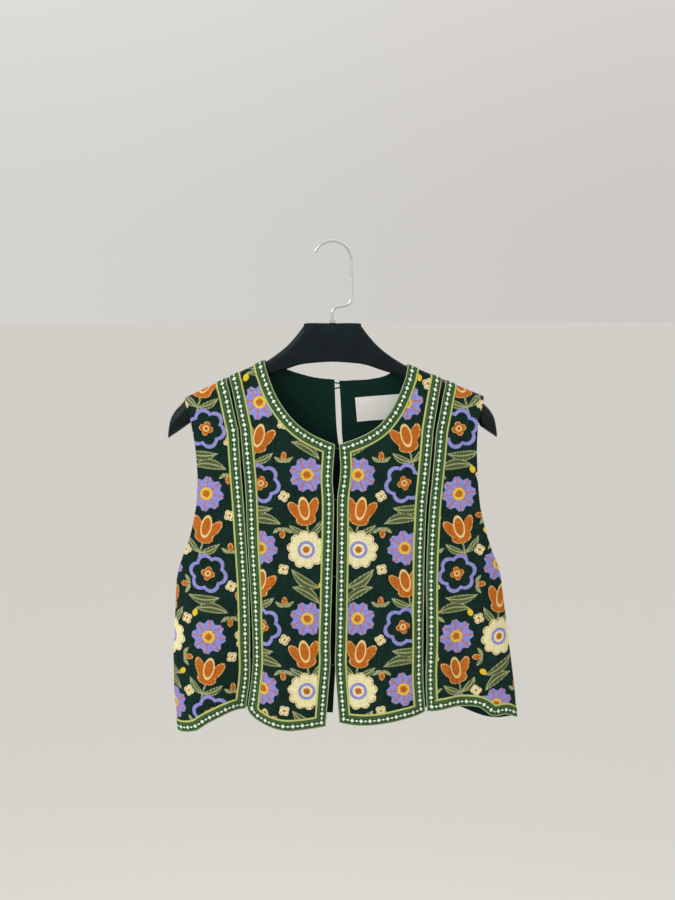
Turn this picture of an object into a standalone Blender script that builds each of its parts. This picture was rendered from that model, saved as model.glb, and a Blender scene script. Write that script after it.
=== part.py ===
"""A sleeveless waistcoat hung on a moulded hanger, built in the pieces it is sewn from.

Metres, +Z up. The front faces -Y and the wearer's right is at -X. The origin is
the inner top of the hook, where a rail carries it. The cloth has one body form:
a ring at each height, rolled over the hanger at the shoulders and broken by a
few soft folds. Each panel is a grid laid on that form between two named edges,
and each tape is made from its panel's own points, moved out.
"""

import math

import bpy
import numpy as np
from mathutils import Vector
from mathutils.bvhtree import BVHTree

CLOTH = 0.0016
SEAM = 0.0003
SHOULDER_SEAM = 0.0005

TAPE_WIDTH = 0.0156
TAPE_THICK = 0.0011
TAPE_INSET = 0.0005
MITRE_SLIDE = 0.00025

NECK_POINT_X = {"left": -0.0880, "right": 0.0975}
SHOULDER_TIP_X = {"left": -0.1915, "right": 0.1963}
RIDGE_AT_NECK_Z = {"left": -0.1500, "right": -0.1556}
RIDGE_SLOPE = {"left": 0.468, "right": 0.415}

RING_POWER = 2.6
ROLL_BLEND = 0.10
ROLL_ANGLES = (0.0, 6.0, 22.0, 38.0, 54.0, 72.0, 90.0)

# Rows of a panel between the roll and the corner, and between the corner and the hem.
UPPER_ROWS = 7
LOWER_ROWS = 13
SLIT_SPLIT_Z = -0.2850
ARMHOLE_SPLIT_Z = -0.3100
HEM_FADE_TOP_Z = -0.4000
HEM_FADE_TALL = 0.2200
LAST_COLUMN = 0.9996

HANGER_CLEAR = 0.0004
HANGER_TOP_Z = -0.1025
HANGER_ARM_STEP = 0.0080
HANGER_JOINT_X = 0.0941
HANGER_END_LIFT = 0.3

HOOK_WIRE = 0.0036
HOOK_BEND = 0.0247
HOOK_END_DEG = 152.0
FERRULE_RADIUS = 0.0043
FERRULE_TALL = 0.0048
# Columns: x, z, from the ferrule to the start of the round bend.
HOOK_STEM = (
    (0.0000, -0.0880),
    (0.0020, -0.0843),
    (0.0070, -0.0818),
    (0.0160, -0.0802),
    (0.0208, -0.0782),
    (0.0232, -0.0742),
    (0.0240, -0.0660),
    (0.0247, -0.0450),
)

THREAD_BAR = 0.0013
LOOP_CORD = 0.0014
BUTTON_RADIUS = 0.0045
BUTTON_THICK = 0.0026
CLOSURE_Z = -0.1870
BUTTON_IN = 0.0062
BUTTON_STAND = 0.0012
LOOP_FOOT = 0.0030
LOOP_GAP = 0.0022
LOOP_START_DEG = 50.0
LABEL_SIZE = (0.0600, 0.0325)
LABEL_THICK = 0.0006
LABEL_CORNER = (0.0297, -0.2000)
LABEL_TILT_DEG = 5.0
LABEL_CLEAR = 0.0005

# Columns: height, half width at left, half width at right, front depth, back depth.
RING = (
    (-0.150, 0.250, 0.262, 0.0240, 0.0240),
    (-0.200, 0.238, 0.246, 0.0255, 0.0255),
    (-0.260, 0.212, 0.226, 0.0260, 0.0260),
    (-0.300, 0.203, 0.219, 0.0265, 0.0265),
    (-0.384, 0.205, 0.222, 0.0285, 0.0280),
    (-0.443, 0.2072, 0.2242, 0.0290, 0.0285),
    (-0.540, 0.2133, 0.2378, 0.0290, 0.0280),
    (-0.590, 0.2130, 0.2448, 0.0290, 0.0275),
    (-0.650, 0.2085, 0.2500, 0.0290, 0.0270),
)

# Columns: x at the hem, x at the top, height where it starts, half width, depth, face.
# A positive depth is a trough towards the inside and a negative one a ridge.
FOLDS = (
    (-0.1120, -0.1150, -0.330, 0.036, 0.0170, "front"),
    (-0.1780, -0.1650, -0.380, 0.040, -0.0080, "front"),
    (-0.0560, -0.0600, -0.300, 0.045, -0.0040, "front"),
    (0.1240, 0.1240, -0.340, 0.030, 0.0085, "front"),
    (0.1740, 0.1650, -0.420, 0.026, 0.0100, "front"),
    (0.2150, 0.2050, -0.440, 0.024, -0.0050, "front"),
    (0.0620, 0.0640, -0.300, 0.048, -0.0035, "front"),
    (-0.1300, -0.1200, -0.330, 0.034, 0.0100, "back"),
    (-0.0650, -0.0700, -0.290, 0.036, -0.0050, "back"),
    (0.0750, 0.0700, -0.300, 0.038, 0.0080, "back"),
    (0.1400, 0.1350, -0.350, 0.034, -0.0060, "back"),
)

# Columns: x, z. The neck runs from the shoulder to the corner, which is its last row.
FRONT_NECK = {
    "left": (
        (-0.0852, -0.1635),
        (-0.0790, -0.1804),
        (-0.0707, -0.1976),
        (-0.0593, -0.2145),
        (-0.0461, -0.2293),
        (-0.0309, -0.2410),
        (-0.0150, -0.2495),
        (0.0033, -0.2570),
    ),
    "right": (
        (0.0945, -0.1720),
        (0.0877, -0.1901),
        (0.0785, -0.2085),
        (0.0700, -0.2210),
        (0.0593, -0.2328),
        (0.0442, -0.2430),
        (0.0271, -0.2505),
        (0.0085, -0.2570),
    ),
}
BACK_NECK = {
    "left": (
        (-0.0800, -0.1590),
        (-0.0642, -0.1650),
        (-0.0429, -0.1710),
        (-0.0166, -0.1765),
        (0.0026, -0.1800),
    ),
    "right": (
        (0.0900, -0.1615),
        (0.0756, -0.1675),
        (0.0559, -0.1730),
        (0.0362, -0.1770),
        (0.0090, -0.1805),
    ),
}

# Columns: x, z, from below the corner to the hem.
CENTRE_FRONT = {
    "left": (
        (0.0010, -0.2880),
        (0.0004, -0.3050),
        (0.0018, -0.3300),
        (0.0015, -0.3690),
        (-0.0006, -0.4430),
        (-0.0026, -0.5150),
        (-0.0025, -0.5450),
        (-0.0046, -0.5750),
        (-0.0090, -0.6327),
    ),
    "right": (
        (0.0102, -0.2860),
        (0.0089, -0.3050),
        (0.0063, -0.3270),
        (0.0059, -0.3690),
        (0.0050, -0.4430),
        (0.0040, -0.5150),
        (0.0032, -0.5450),
        (0.0050, -0.5790),
        (0.0088, -0.6275),
    ),
}
CENTRE_BACK = {
    "left": (
        (0.0040, -0.2150),
        (0.0062, -0.2500),
        (0.0108, -0.2800),
        (0.0120, -0.3200),
        (0.0098, -0.4200),
        (0.0066, -0.5200),
        (0.0034, -0.5750),
        (0.0002, -0.6340),
    ),
    "right": (
        (0.0112, -0.2150),
        (0.0126, -0.2500),
        (0.0166, -0.2850),
        (0.0175, -0.3300),
        (0.0156, -0.4200),
        (0.0126, -0.5200),
        (0.0104, -0.5750),
        (0.0085, -0.6340),
    ),
}

# Columns: x of the centre panel's edge, x of the side panel's edge, z.
SLIT = {
    "left": (
        (-0.1331, -0.1368, -0.1780),
        (-0.1184, -0.1210, -0.2392),
        (-0.1136, -0.1173, -0.3000),
        (-0.1120, -0.1152, -0.3300),
        (-0.1113, -0.1136, -0.3600),
        (-0.1095, -0.1112, -0.4083),
        (-0.1078, -0.1096, -0.4480),
        (-0.1053, -0.1091, -0.5285),
        (-0.1075, -0.1098, -0.5694),
        (-0.1142, -0.1162, -0.6140),
    ),
    "right": (
        (0.1410, 0.1463, -0.1740),
        (0.1302, 0.1337, -0.2392),
        (0.1252, 0.1288, -0.3000),
        (0.1225, 0.1260, -0.3300),
        (0.1210, 0.1243, -0.3600),
        (0.1198, 0.1227, -0.4083),
        (0.1197, 0.1225, -0.4480),
        (0.1194, 0.1238, -0.5200),
        (0.1200, 0.1232, -0.5700),
        (0.1234, 0.1254, -0.6150),
    ),
}

# Columns: x, z, from below the shoulder tip to the underarm.
ARMHOLE = {
    "left": (
        (-0.1833, -0.2277),
        (-0.1775, -0.2613),
        (-0.1750, -0.3000),
        (-0.1776, -0.3384),
        (-0.1861, -0.3780),
        (-0.1953, -0.4021),
        (-0.2023, -0.4220),
        (-0.2072, -0.4430),
    ),
    "right": (
        (0.1885, -0.2277),
        (0.1868, -0.2613),
        (0.1882, -0.3000),
        (0.1925, -0.3384),
        (0.2010, -0.3740),
        (0.2100, -0.4000),
        (0.2180, -0.4200),
        (0.2242, -0.4430),
    ),
}
SIDE_HEM_Z = {"left": -0.6455, "right": -0.6290}

# Columns: share of the way across from the inner edge, drop below a straight hem.
HEM_DROP = {
    "front_centre_left": (
        (0.0, 0.0),
        (0.15, 0.0050),
        (0.30, 0.0100),
        (0.45, 0.0138),
        (0.58, 0.0154),
        (0.77, 0.0147),
        (0.91, 0.0112),
        (0.97, 0.0076),
        (1.0, 0.0),
    ),
    "front_centre_right": (
        (0.0, 0.0),
        (0.12, 0.0046),
        (0.28, 0.0072),
        (0.42, 0.0076),
        (0.59, 0.0069),
        (0.76, 0.0053),
        (0.94, 0.0034),
        (1.0, 0.0),
    ),
    "front_side_left": (
        (0.0, 0.0),
        (0.18, -0.0049),
        (0.27, -0.0054),
        (0.37, -0.0033),
        (0.51, -0.0013),
        (0.60, 0.0012),
        (0.67, 0.0049),
        (0.78, 0.0048),
        (0.89, 0.0038),
        (0.97, 0.0022),
        (1.0, 0.0),
    ),
    "front_side_right": (
        (0.0, 0.0),
        (0.10, -0.0016),
        (0.20, -0.0079),
        (0.30, -0.0108),
        (0.41, -0.0114),
        (0.51, -0.0144),
        (0.60, -0.0144),
        (0.68, -0.0030),
        (0.75, -0.0034),
        (0.87, -0.0072),
        (0.94, -0.0030),
        (1.0, 0.0),
    ),
    "back_left": (
        (0.0, 0.0),
        (0.25, -0.0030),
        (0.42, -0.0120),
        (0.52, -0.0175),
        (0.60, -0.0185),
        (0.66, -0.0165),
        (0.74, -0.0090),
        (0.82, -0.0035),
        (0.90, 0.0),
        (1.0, 0.0),
    ),
    "back_right": (
        (0.0, 0.0),
        (0.30, -0.0010),
        (0.50, -0.0045),
        (0.61, -0.0085),
        (0.66, -0.0095),
        (0.71, -0.0062),
        (0.77, 0.0012),
        (0.83, 0.0060),
        (0.89, 0.0094),
        (0.95, 0.0050),
        (1.0, 0.0),
    ),
}

# Columns: distance from the middle, top, under side, half thickness.
HANGER_SHAPE = (
    (0.0000, -0.1025, -0.1522, 0.0060),
    (0.0335, -0.1025, -0.1545, 0.0060),
    (0.0375, -0.1065, -0.1552, 0.0060),
    (0.0462, -0.1180, -0.1570, 0.0062),
    (0.0590, -0.1320, -0.1615, 0.0066),
    (0.0730, -0.1432, -0.1660, 0.0072),
    (0.0860, -0.1517, -0.1695, 0.0080),
)
# Columns: distance from the middle, top, under side, half thickness.
HANGER_END = (
    (0.1930, -0.2045, -0.2385, 0.0158),
    (0.1980, -0.2100, -0.2420, 0.0154),
    (0.2045, -0.2168, -0.2465, 0.0146),
    (0.2100, -0.2263, -0.2500, 0.0130),
    (0.2126, -0.2376, -0.2520, 0.0105),
    (0.2140, -0.2470, -0.2525, 0.0070),
)
HANGER_TIP_HALF_THICK = 0.0160
HANGER_TIP_X = 0.1900
HANGER_TIP_TALL = 0.0350

# Height of each thread bar.
CENTRE_BARS = (-0.2620, -0.3290, -0.4300, -0.5490)
SLIT_BARS = {"left": (-0.2500, -0.3200, -0.5450), "right": (-0.2500, -0.3700, -0.5520)}

COLOURS = {
    "cloth": (0.006, 0.030, 0.024),
    "tape": (0.045, 0.110, 0.050),
    "hanger": (0.016, 0.020, 0.024),
    "wire": (0.620, 0.630, 0.640),
    "thread": (0.010, 0.040, 0.028),
    "label": (0.800, 0.790, 0.740),
}


def smooth(x):
    """0 below 0, 1 above 1, and an even S between."""
    x = np.clip(x, 0.0, 1.0)
    return x * x * (3.0 - 2.0 * x)


def ring(z, column):
    table = np.array(RING)[::-1]
    return np.interp(z, table[:, 0], table[:, column])


def half_width(x, z):
    return np.where(x < 0.0, ring(z, 1), ring(z, 2))


def ridge_z(x):
    """Height of the shoulder ridge: one slope each side, carried on towards the neck."""
    left = RIDGE_AT_NECK_Z["left"] + RIDGE_SLOPE["left"] * (x - NECK_POINT_X["left"])
    right = RIDGE_AT_NECK_Z["right"] - RIDGE_SLOPE["right"] * (x - NECK_POINT_X["right"])
    return np.where(x < 0.0, left, right)


def hanger_half_thick(x):
    """Half thickness of the hanger's arm, from its neck out to its broad end."""
    start, _, _, thick = HANGER_SHAPE[-1]
    share = smooth((np.abs(x) - start) / (HANGER_TIP_X - start))
    return thick + (HANGER_TIP_HALF_THICK - thick) * share


def roll_radius(x):
    return hanger_half_thick(x) + HANGER_CLEAR + CLOTH


def fold_depth(x, z, face):
    """Sum of the soft folds of one face: each a cosine bell that deepens to the hem."""
    total = np.zeros_like(x)
    hem = min(SIDE_HEM_Z.values())
    for hem_x, top_x, start, half, depth, side in FOLDS:
        if side == face:
            fall = np.clip((start - z) / (start - hem), 0.0, 1.1)
            away = np.abs(x - (top_x + (hem_x - top_x) * fall)) / half
            total += depth * fall * 0.5 * (1.0 + np.cos(math.pi * np.clip(away, 0.0, 1.0)))
    return total


def body_depth(x, z, face):
    """Distance of the cloth from the plane of the hanger.

    A ring of superellipse form at each height, less the folds, blends at the
    shoulder into a quarter round of the hanger's own radius.
    """
    side = np.clip(1.0 - (np.abs(x) / half_width(x, z)) ** RING_POWER, 0.0, None) ** (1.0 / RING_POWER)
    below = np.clip(ridge_z(x) - z, 0.0, None)
    radius = roll_radius(x)
    turned = 1.0 - np.clip(below / radius, 0.0, 1.0)
    roll = radius * np.sqrt(np.clip(1.0 - turned * turned, 0.0, 1.0))
    share = smooth(below / ROLL_BLEND)
    full = ring(z, 3 if face == "front" else 4) - fold_depth(x, z, face)
    return roll * (1.0 - share) + full * side * share


def on_body(x, z, face):
    """Points of the form at x and z, kept half a seam clear of the other face."""
    near = np.where(ridge_z(x) - z < 0.5 * CLOTH, SHOULDER_SEAM, SEAM) * 0.5
    depth = np.maximum(body_depth(x, z, face), near)
    y = -depth if face == "front" else depth
    return np.stack([x, y, z], axis=-1)


def along(rows, distances):
    """Points at the given distances along a smooth line through the rows."""
    rows = np.array(rows)
    ahead = np.vstack([rows[1:], 2 * rows[-1] - rows[-2]])
    behind = np.vstack([2 * rows[0] - rows[1], rows[:-1]])
    slope = (ahead - behind) / 2.0
    t = np.linspace(0.0, 1.0, 9)[:-1, None]
    pieces = []
    for i in range(len(rows) - 1):
        a = (1 + 2 * t) * (1 - t) ** 2 * rows[i]
        b = t * (1 - t) ** 2 * slope[i]
        c = t * t * (3 - 2 * t) * rows[i + 1]
        d = t * t * (t - 1) * slope[i + 1]
        pieces.append(a + b + c + d)
    line = np.vstack(pieces + [rows[-1:]])
    run = np.concatenate([[0.0], np.cumsum(np.linalg.norm(np.diff(line, axis=0), axis=1))])
    distances = np.asarray(distances) * run[-1]
    return np.stack([np.interp(distances, run, line[:, k]) for k in range(2)], axis=-1)


def roll_drops(x):
    """Drops below the ridge at the roll's angles, at one place on the shoulder."""
    return float(roll_radius(np.array(x))) * (1.0 - np.cos(np.radians(ROLL_ANGLES)))


def edge_line(upper, lower, upper_rows, lower_rows):
    """One edge from the ridge to the hem: roll rows, upper rows, lower rows, tape row, hem.

    The upper part starts on the ridge and ends at the corner, where the lower
    part goes on. Returns the points and the row of the corner.
    """
    start_x = upper[0][0]
    drops = roll_drops(start_x)
    lean = (upper[1][0] - upper[0][0]) / (upper[1][1] - upper[0][1])
    roll = np.stack([start_x - lean * drops, upper[0][1] - drops], axis=-1)
    body = [tuple(roll[-1])] + [row for row in upper[1:] if row[1] < roll[-1][1] - 0.002]
    corner = len(roll) - 1 + upper_rows
    first = along(body, np.linspace(0.0, 1.0, upper_rows + 1))[1:]
    second = along((tuple(first[-1]),) + tuple(lower), np.linspace(0.0, 1.0, lower_rows + 1))[1:]
    hem = second[-1]
    up = second[-2] - hem
    tape = hem + up / np.linalg.norm(up) * TAPE_WIDTH
    kept = [p for p in second[:-1] if p[1] > tape[1] + 0.3 * TAPE_WIDTH]
    while len(kept) < lower_rows - 1:
        kept.append((kept[-1] + tape) / 2.0)
    return np.vstack([roll, first, np.array(kept), tape, hem]), corner


def split_at(rows, level):
    """The rows above a height and those below it, for an edge with no corner."""
    upper = [row for row in rows if row[1] > level]
    return upper, [row for row in rows if row[1] <= level]


def neck_edge(side, neck, centre):
    start = (NECK_POINT_X[side], float(ridge_z(np.array(NECK_POINT_X[side]))))
    return edge_line((start,) + neck[side], centre[side], UPPER_ROWS, LOWER_ROWS)


def slit_edge(side, column, level):
    rows = [(row[column], row[2]) for row in SLIT[side]]
    start = (rows[0][0] + (rows[0][0] - rows[1][0]) * 0.03, 0.0)
    start = (start[0], float(ridge_z(np.array(start[0]))))
    below = [row for row in rows if row[1] < start[1] - 0.02]
    upper, lower = split_at(below, level)
    return edge_line([start] + upper, lower, UPPER_ROWS, LOWER_ROWS)


def outer_edge(side, hem_z):
    start = (SHOULDER_TIP_X[side], float(ridge_z(np.array(SHOULDER_TIP_X[side]))))
    upper, lower = split_at(ARMHOLE[side], ARMHOLE_SPLIT_Z)
    sign = -1.0 if side == "left" else 1.0
    column = 1 if side == "left" else 2
    for z in np.linspace(ARMHOLE[side][-1][1], hem_z, 7)[1:]:
        lower.append((sign * float(ring(z, column)), float(z)))
    line, _ = edge_line([start] + upper, lower, UPPER_ROWS, LOWER_ROWS)
    seam = line[:, 1] < ARMHOLE[side][-1][1]
    line[seam, 0] = sign * ring(line[seam, 1], column)
    return line


def tape_offset(edge, towards):
    """The edge moved in by the tape's width, mitred where it turns."""
    run = np.diff(edge, axis=0)
    run /= np.linalg.norm(run, axis=1)[:, None]
    normal = np.stack([-run[:, 1], run[:, 0]], axis=-1)
    normal *= np.sign(np.sum(normal * (towards[:-1] - edge[:-1]), axis=1))[:, None]
    before = np.vstack([normal[:1], normal])
    after = np.vstack([normal, normal[-1:]])
    return edge + TAPE_WIDTH * (before + after) / (1.0 + np.sum(before * after, axis=1))[:, None]


def panel_grid(name, inner, outer, shares, tape_at):
    """Rows of (x, z) from the inner to the outer edge, with the hem's own line.

    shares are the columns between the tapes, from 0 to 1, and tape_at names the
    edges that carry a tape, each of which adds its own column. The first rows
    lie at the roll's own angles below the ridge, all the way across.
    """
    start = tape_offset(inner, outer) if "inner" in tape_at else inner
    end = tape_offset(outer, inner) if "outer" in tape_at else outer
    shares = np.array(shares)[None, :, None]
    grid = start[:, None, :] + (end - start)[:, None, :] * shares
    if "inner" in tape_at:
        grid = np.concatenate([inner[:, None, :], grid], axis=1)
    if "outer" in tape_at:
        grid = np.concatenate([grid, outer[:, None, :]], axis=1)
    across = np.linalg.norm(grid - inner[:, None, :], axis=2)
    across /= across[:, -1:]
    table = np.array(HEM_DROP[name])
    fine = np.linspace(0.0, 1.0, 41)
    line = np.interp(fine, table[:, 0], table[:, 1])
    soft = np.convolve(np.pad(line, 2, mode="edge"), np.ones(5) / 5.0, mode="valid")
    soft[[0, -1]] = line[[0, -1]]
    fade = smooth((HEM_FADE_TOP_Z - grid[..., 1]) / HEM_FADE_TALL)
    grid[..., 1] -= np.interp(across, fine, soft) * fade
    hem = grid[-1]
    slope = np.gradient(hem[:, 1], hem[:, 0], edge_order=1)
    rise = TAPE_WIDTH * np.sqrt(1.0 + np.clip(slope, -1.2, 1.2) ** 2)
    grid[-2, 1:-1, 1] = hem[1:-1, 1] + rise[1:-1]
    for row, angle in enumerate(ROLL_ANGLES):
        x = grid[row, :, 0]
        grid[row, :, 1] = ridge_z(x) - roll_radius(x) * (1.0 - math.cos(math.radians(angle)))
    return grid


def even(count):
    return np.linspace(0.0, 1.0, count + 1)


def to_seam(count):
    """Columns that close up towards a side seam, with a last narrow one."""
    shares = np.sin(0.5 * math.pi * np.linspace(0.0, 1.0, count + 1))
    return np.concatenate([shares[:-1], [LAST_COLUMN, 1.0]])


def build_panels():
    """Grid points in space for every panel, and the row of each neck corner."""
    grids = {}
    corners = {}
    for side in ("left", "right"):
        neck, corner = neck_edge(side, FRONT_NECK, CENTRE_FRONT)
        slit_centre, _ = slit_edge(side, 0, SLIT_SPLIT_Z)
        slit_side, _ = slit_edge(side, 1, SLIT_SPLIT_Z)
        outer = outer_edge(side, SIDE_HEM_Z[side])
        name = f"front_centre_{side}"
        grids[name] = (panel_grid(name, neck, slit_centre, even(6), ("inner", "outer")), "front")
        corners[name] = corner
        name = f"front_side_{side}"
        grids[name] = (panel_grid(name, slit_side, outer, to_seam(8), ("inner",)), "front")
        back_neck, corner = neck_edge(side, BACK_NECK, CENTRE_BACK)
        name = f"back_{side}"
        grids[name] = (panel_grid(name, back_neck, outer, to_seam(13), ()), "back")
        corners[name] = corner
    points = {}
    for name, (grid, face) in grids.items():
        points[name] = on_body(grid[..., 0], grid[..., 1], face)
    return points, corners


def grid_normals(points, face):
    """Outward normals of a grid of points: the mean of the cells round each point."""
    cells = np.cross(points[1:, 1:] - points[:-1, :-1], points[1:, :-1] - points[:-1, 1:])
    cells /= np.linalg.norm(cells, axis=2)[..., None]
    want = 1.0 if face == "back" else -1.0
    cells *= np.sign(want * cells[cells.shape[0] // 2, cells.shape[1] // 2, 1])
    total = np.zeros_like(points)
    for down in (slice(None, -1), slice(1, None)):
        for across in (slice(None, -1), slice(1, None)):
            total[down, across] += cells
    return total / np.linalg.norm(total, axis=2)[..., None]


def material(name, rough=0.8, metal=0.0):
    found = bpy.data.materials.get(name)
    if found:
        return found
    made = bpy.data.materials.new(name)
    made.use_nodes = True
    shader = made.node_tree.nodes["Principled BSDF"]
    shader.inputs["Base Color"].default_value = (*COLOURS[name], 1.0)
    shader.inputs["Roughness"].default_value = rough
    shader.inputs["Metallic"].default_value = metal
    return made


def add_object(name, mesh, finish):
    made = bpy.data.objects.new(name, mesh)
    made.data.materials.append(finish)
    bpy.data.collections["waistcoat"].objects.link(made)
    return made


def face_out(mesh, normals):
    """Turn the faces over if they point against the given normals."""
    mesh.update()
    wrong = sum(1 for face in mesh.polygons if face.normal.dot(normals[face.vertices[0]]) < 0.0)
    if wrong * 2 > len(mesh.polygons):
        mesh.flip_normals()


def add_wall(name, points, normals, faces, thickness, offset, finish):
    """An open surface made into a wall; offset -1 grows inwards and 1 outwards."""
    mesh = bpy.data.meshes.new(name)
    mesh.from_pydata([tuple(p) for p in points], [], faces)
    face_out(mesh, [Vector(n) for n in normals])
    mesh.shade_smooth()
    mesh.set_sharp_from_angle(angle=math.radians(40.0))
    made = add_object(name, mesh, finish)
    wall = made.modifiers.new("wall", "SOLIDIFY")
    wall.thickness = thickness
    wall.offset = offset
    wall.use_even_offset = False
    return made


def grid_faces(rows, columns):
    """Cells of a grid; the two at the lower corners are split along the tapes' mitres."""
    faces = []
    for i in range(rows - 1):
        for j in range(columns - 1):
            a = i * columns + j
            cell = (a, a + 1, a + columns + 1, a + columns)
            if i == rows - 2 and j == 0:
                faces.extend([(cell[0], cell[1], cell[3]), (cell[1], cell[2], cell[3])])
            elif i == rows - 2 and j == columns - 2:
                faces.extend([(cell[0], cell[1], cell[2]), (cell[0], cell[2], cell[3])])
            else:
                faces.append(cell)
    return faces


def add_panel(name, points, normals):
    faces = grid_faces(*points.shape[:2])
    points = points.reshape(-1, 3)
    add_wall(name, points, normals.reshape(-1, 3), faces, CLOTH, -1.0, material("cloth"))


def moved(start, towards, distance):
    """A point moved a distance towards another."""
    way = towards - start
    return start + way / np.linalg.norm(way) * distance


def add_tape(name, rungs, from_inner_edge=False):
    """A tape laid a seam's gap off its panel, from rungs of panel points.

    A rung is the free-edge point, the inner point and the normals at both. At a
    mitre the end rung has no inner point of its own and shares its neighbour's.
    Each cell starts at the corner that splits it as the panel's cell is split.
    """
    placed = []
    facing = []
    corners = []
    for edge, inner, edge_normal, inner_normal in rungs:
        pair = []
        for point, normal in ((edge, edge_normal), (inner, inner_normal)):
            if point is None:
                pair.append(None)
                continue
            pair.append(len(placed))
            placed.append(point + normal * SEAM)
            facing.append(normal)
        corners.append(pair)
    faces = []
    for (a, b), (d, c) in zip(corners[:-1], corners[1:]):
        cell = (a, b, c, d) if from_inner_edge else (b, c, d, a)
        faces.append(tuple(k for k in cell if k is not None))
    add_wall(name, placed, facing, faces, TAPE_THICK, 1.0, material("tape"))


def upright_tape(points, normals, edge, inner, first, last, ends):
    """Rungs of a tape down one edge between two rows; ends are plain or mitred."""
    inset = TAPE_INSET / TAPE_WIDTH
    rungs = []
    for row in range(first, last + 1):
        a = points[row, edge] + (points[row, inner] - points[row, edge]) * inset
        rungs.append([a, points[row, inner], normals[row, edge], normals[row, inner]])
    shorten(rungs, 0, 1, ends[0])
    shorten(rungs, -1, -2, ends[1])
    return rungs


def hem_tape(points, normals, ends):
    """Rungs of a tape along the hem between the inner and the outer edge."""
    inset = TAPE_INSET / TAPE_WIDTH
    rungs = []
    for column in range(points.shape[1]):
        low = points[-1, column]
        high = points[-2, column]
        rungs.append([low + (high - low) * inset, high, normals[-1, column], normals[-2, column]])
    shorten(rungs, 0, 1, ends[0])
    shorten(rungs, -1, -2, ends[1])
    return rungs


def shorten(rungs, end, beside, kind):
    """Draw a tape's end back for its neighbour: square, or slanting at a mitre."""
    if kind == "mitre":
        rungs[end][0] = moved(rungs[end][0], rungs[beside][0], TAPE_INSET + MITRE_SLIDE)
        rungs[end][1] = None
        beyond = beside + (beside - end)
        rungs[beside][1] = moved(rungs[beside][1], rungs[beyond][1], MITRE_SLIDE)
    elif kind == "corner":
        for k in (0, 1):
            rungs[end][k] = moved(rungs[end][k], rungs[beside][k], MITRE_SLIDE)


def build_cloth(points, corners):
    for name, grid in points.items():
        face, side = name.split("_")[0], name.split("_")[-1]
        normals = grid_normals(grid, face)
        add_panel(name, grid, normals)
        last = grid.shape[0] - 1
        if name.startswith("front_centre"):
            corner = corners[name]
            neck = upright_tape(grid, normals, 0, 1, 0, corner, ("plain", "corner"))
            add_tape(f"tape_neck_{side}", neck, from_inner_edge=True)
            centre = upright_tape(grid, normals, 0, 1, corner, last, ("corner", "mitre"))
            add_tape(f"tape_centre_{side}", centre, from_inner_edge=True)
            slit = upright_tape(grid, normals, -1, -2, 0, last, ("plain", "mitre"))
            add_tape(f"tape_slit_centre_{side}", slit)
            add_tape(f"tape_hem_centre_{side}", hem_tape(grid, normals, ("mitre", "mitre")))
        elif name.startswith("front_side"):
            slit = upright_tape(grid, normals, 0, 1, 0, last, ("plain", "mitre"))
            add_tape(f"tape_slit_side_{side}", slit, from_inner_edge=True)
            add_tape(f"tape_hem_side_{side}", hem_tape(grid, normals, ("mitre", "plain")))
        else:
            add_tape(f"tape_hem_back_{side}", hem_tape(grid, normals, ("plain", "plain")))


def add_tube(name, points, radius, finish, resolution=2):
    curve = bpy.data.curves.new(name, "CURVE")
    curve.dimensions = "3D"
    curve.bevel_depth = radius
    curve.bevel_resolution = resolution
    curve.use_fill_caps = True
    line = curve.splines.new("POLY")
    line.points.add(len(points) - 1)
    for place, p in zip(line.points, points):
        place.co = (*p, 1.0)
    add_object(name, curve, finish)


def edge_x_at(grid, column, z):
    """Point of one edge of a panel at a height."""
    line = grid[:, column][::-1]
    return np.array([np.interp(z, line[:, 2], line[:, k]) for k in range(3)])


def add_bar(name, left, right, heights):
    """Short thread bars that hold two free edges together, wall to wall."""
    for number, z in enumerate(heights, start=1):
        a = edge_x_at(*left, z)
        b = edge_x_at(*right, z)
        depth = 0.5 * (a[1] + b[1]) + 0.5 * CLOTH
        reach = b[0] - a[0] - 2.0 * SEAM
        middle = 0.5 * (a[0] + b[0])
        ends = [(middle + half * reach, depth, z) for half in (-0.5, 0.5)]
        add_tube(f"{name}_{number}", ends, 0.5 * THREAD_BAR, material("thread"))


def build_bars(points):
    centre = {side: points[f"front_centre_{side}"] for side in ("left", "right")}
    outer = {side: points[f"front_side_{side}"] for side in ("left", "right")}
    add_bar("bar_centre", (centre["left"], 0), (centre["right"], 0), CENTRE_BARS)
    add_bar("bar_slit_left", (outer["left"], 0), (centre["left"], -1), SLIT_BARS["left"])
    add_bar("bar_slit_right", (centre["right"], -1), (outer["right"], 0), SLIT_BARS["right"])


def hanger_section(x, top, under, thick, sides=6):
    """A round-topped section, its under edge a little narrower and rounded."""
    ring_points = []
    for k in range(sides + 1):
        turn = math.pi * k / sides
        ring_points.append((x, -thick * math.cos(turn), top - thick + thick * math.sin(turn)))
    low = max(min(under + 0.35 * thick, top - thick - 0.001), under + 0.0008)
    ring_points.append((x, 0.97 * thick, low))
    ring_points.append((x, 0.62 * thick, under))
    ring_points.append((x, -0.62 * thick, under))
    ring_points.append((x, -0.97 * thick, low))
    return ring_points


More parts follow.
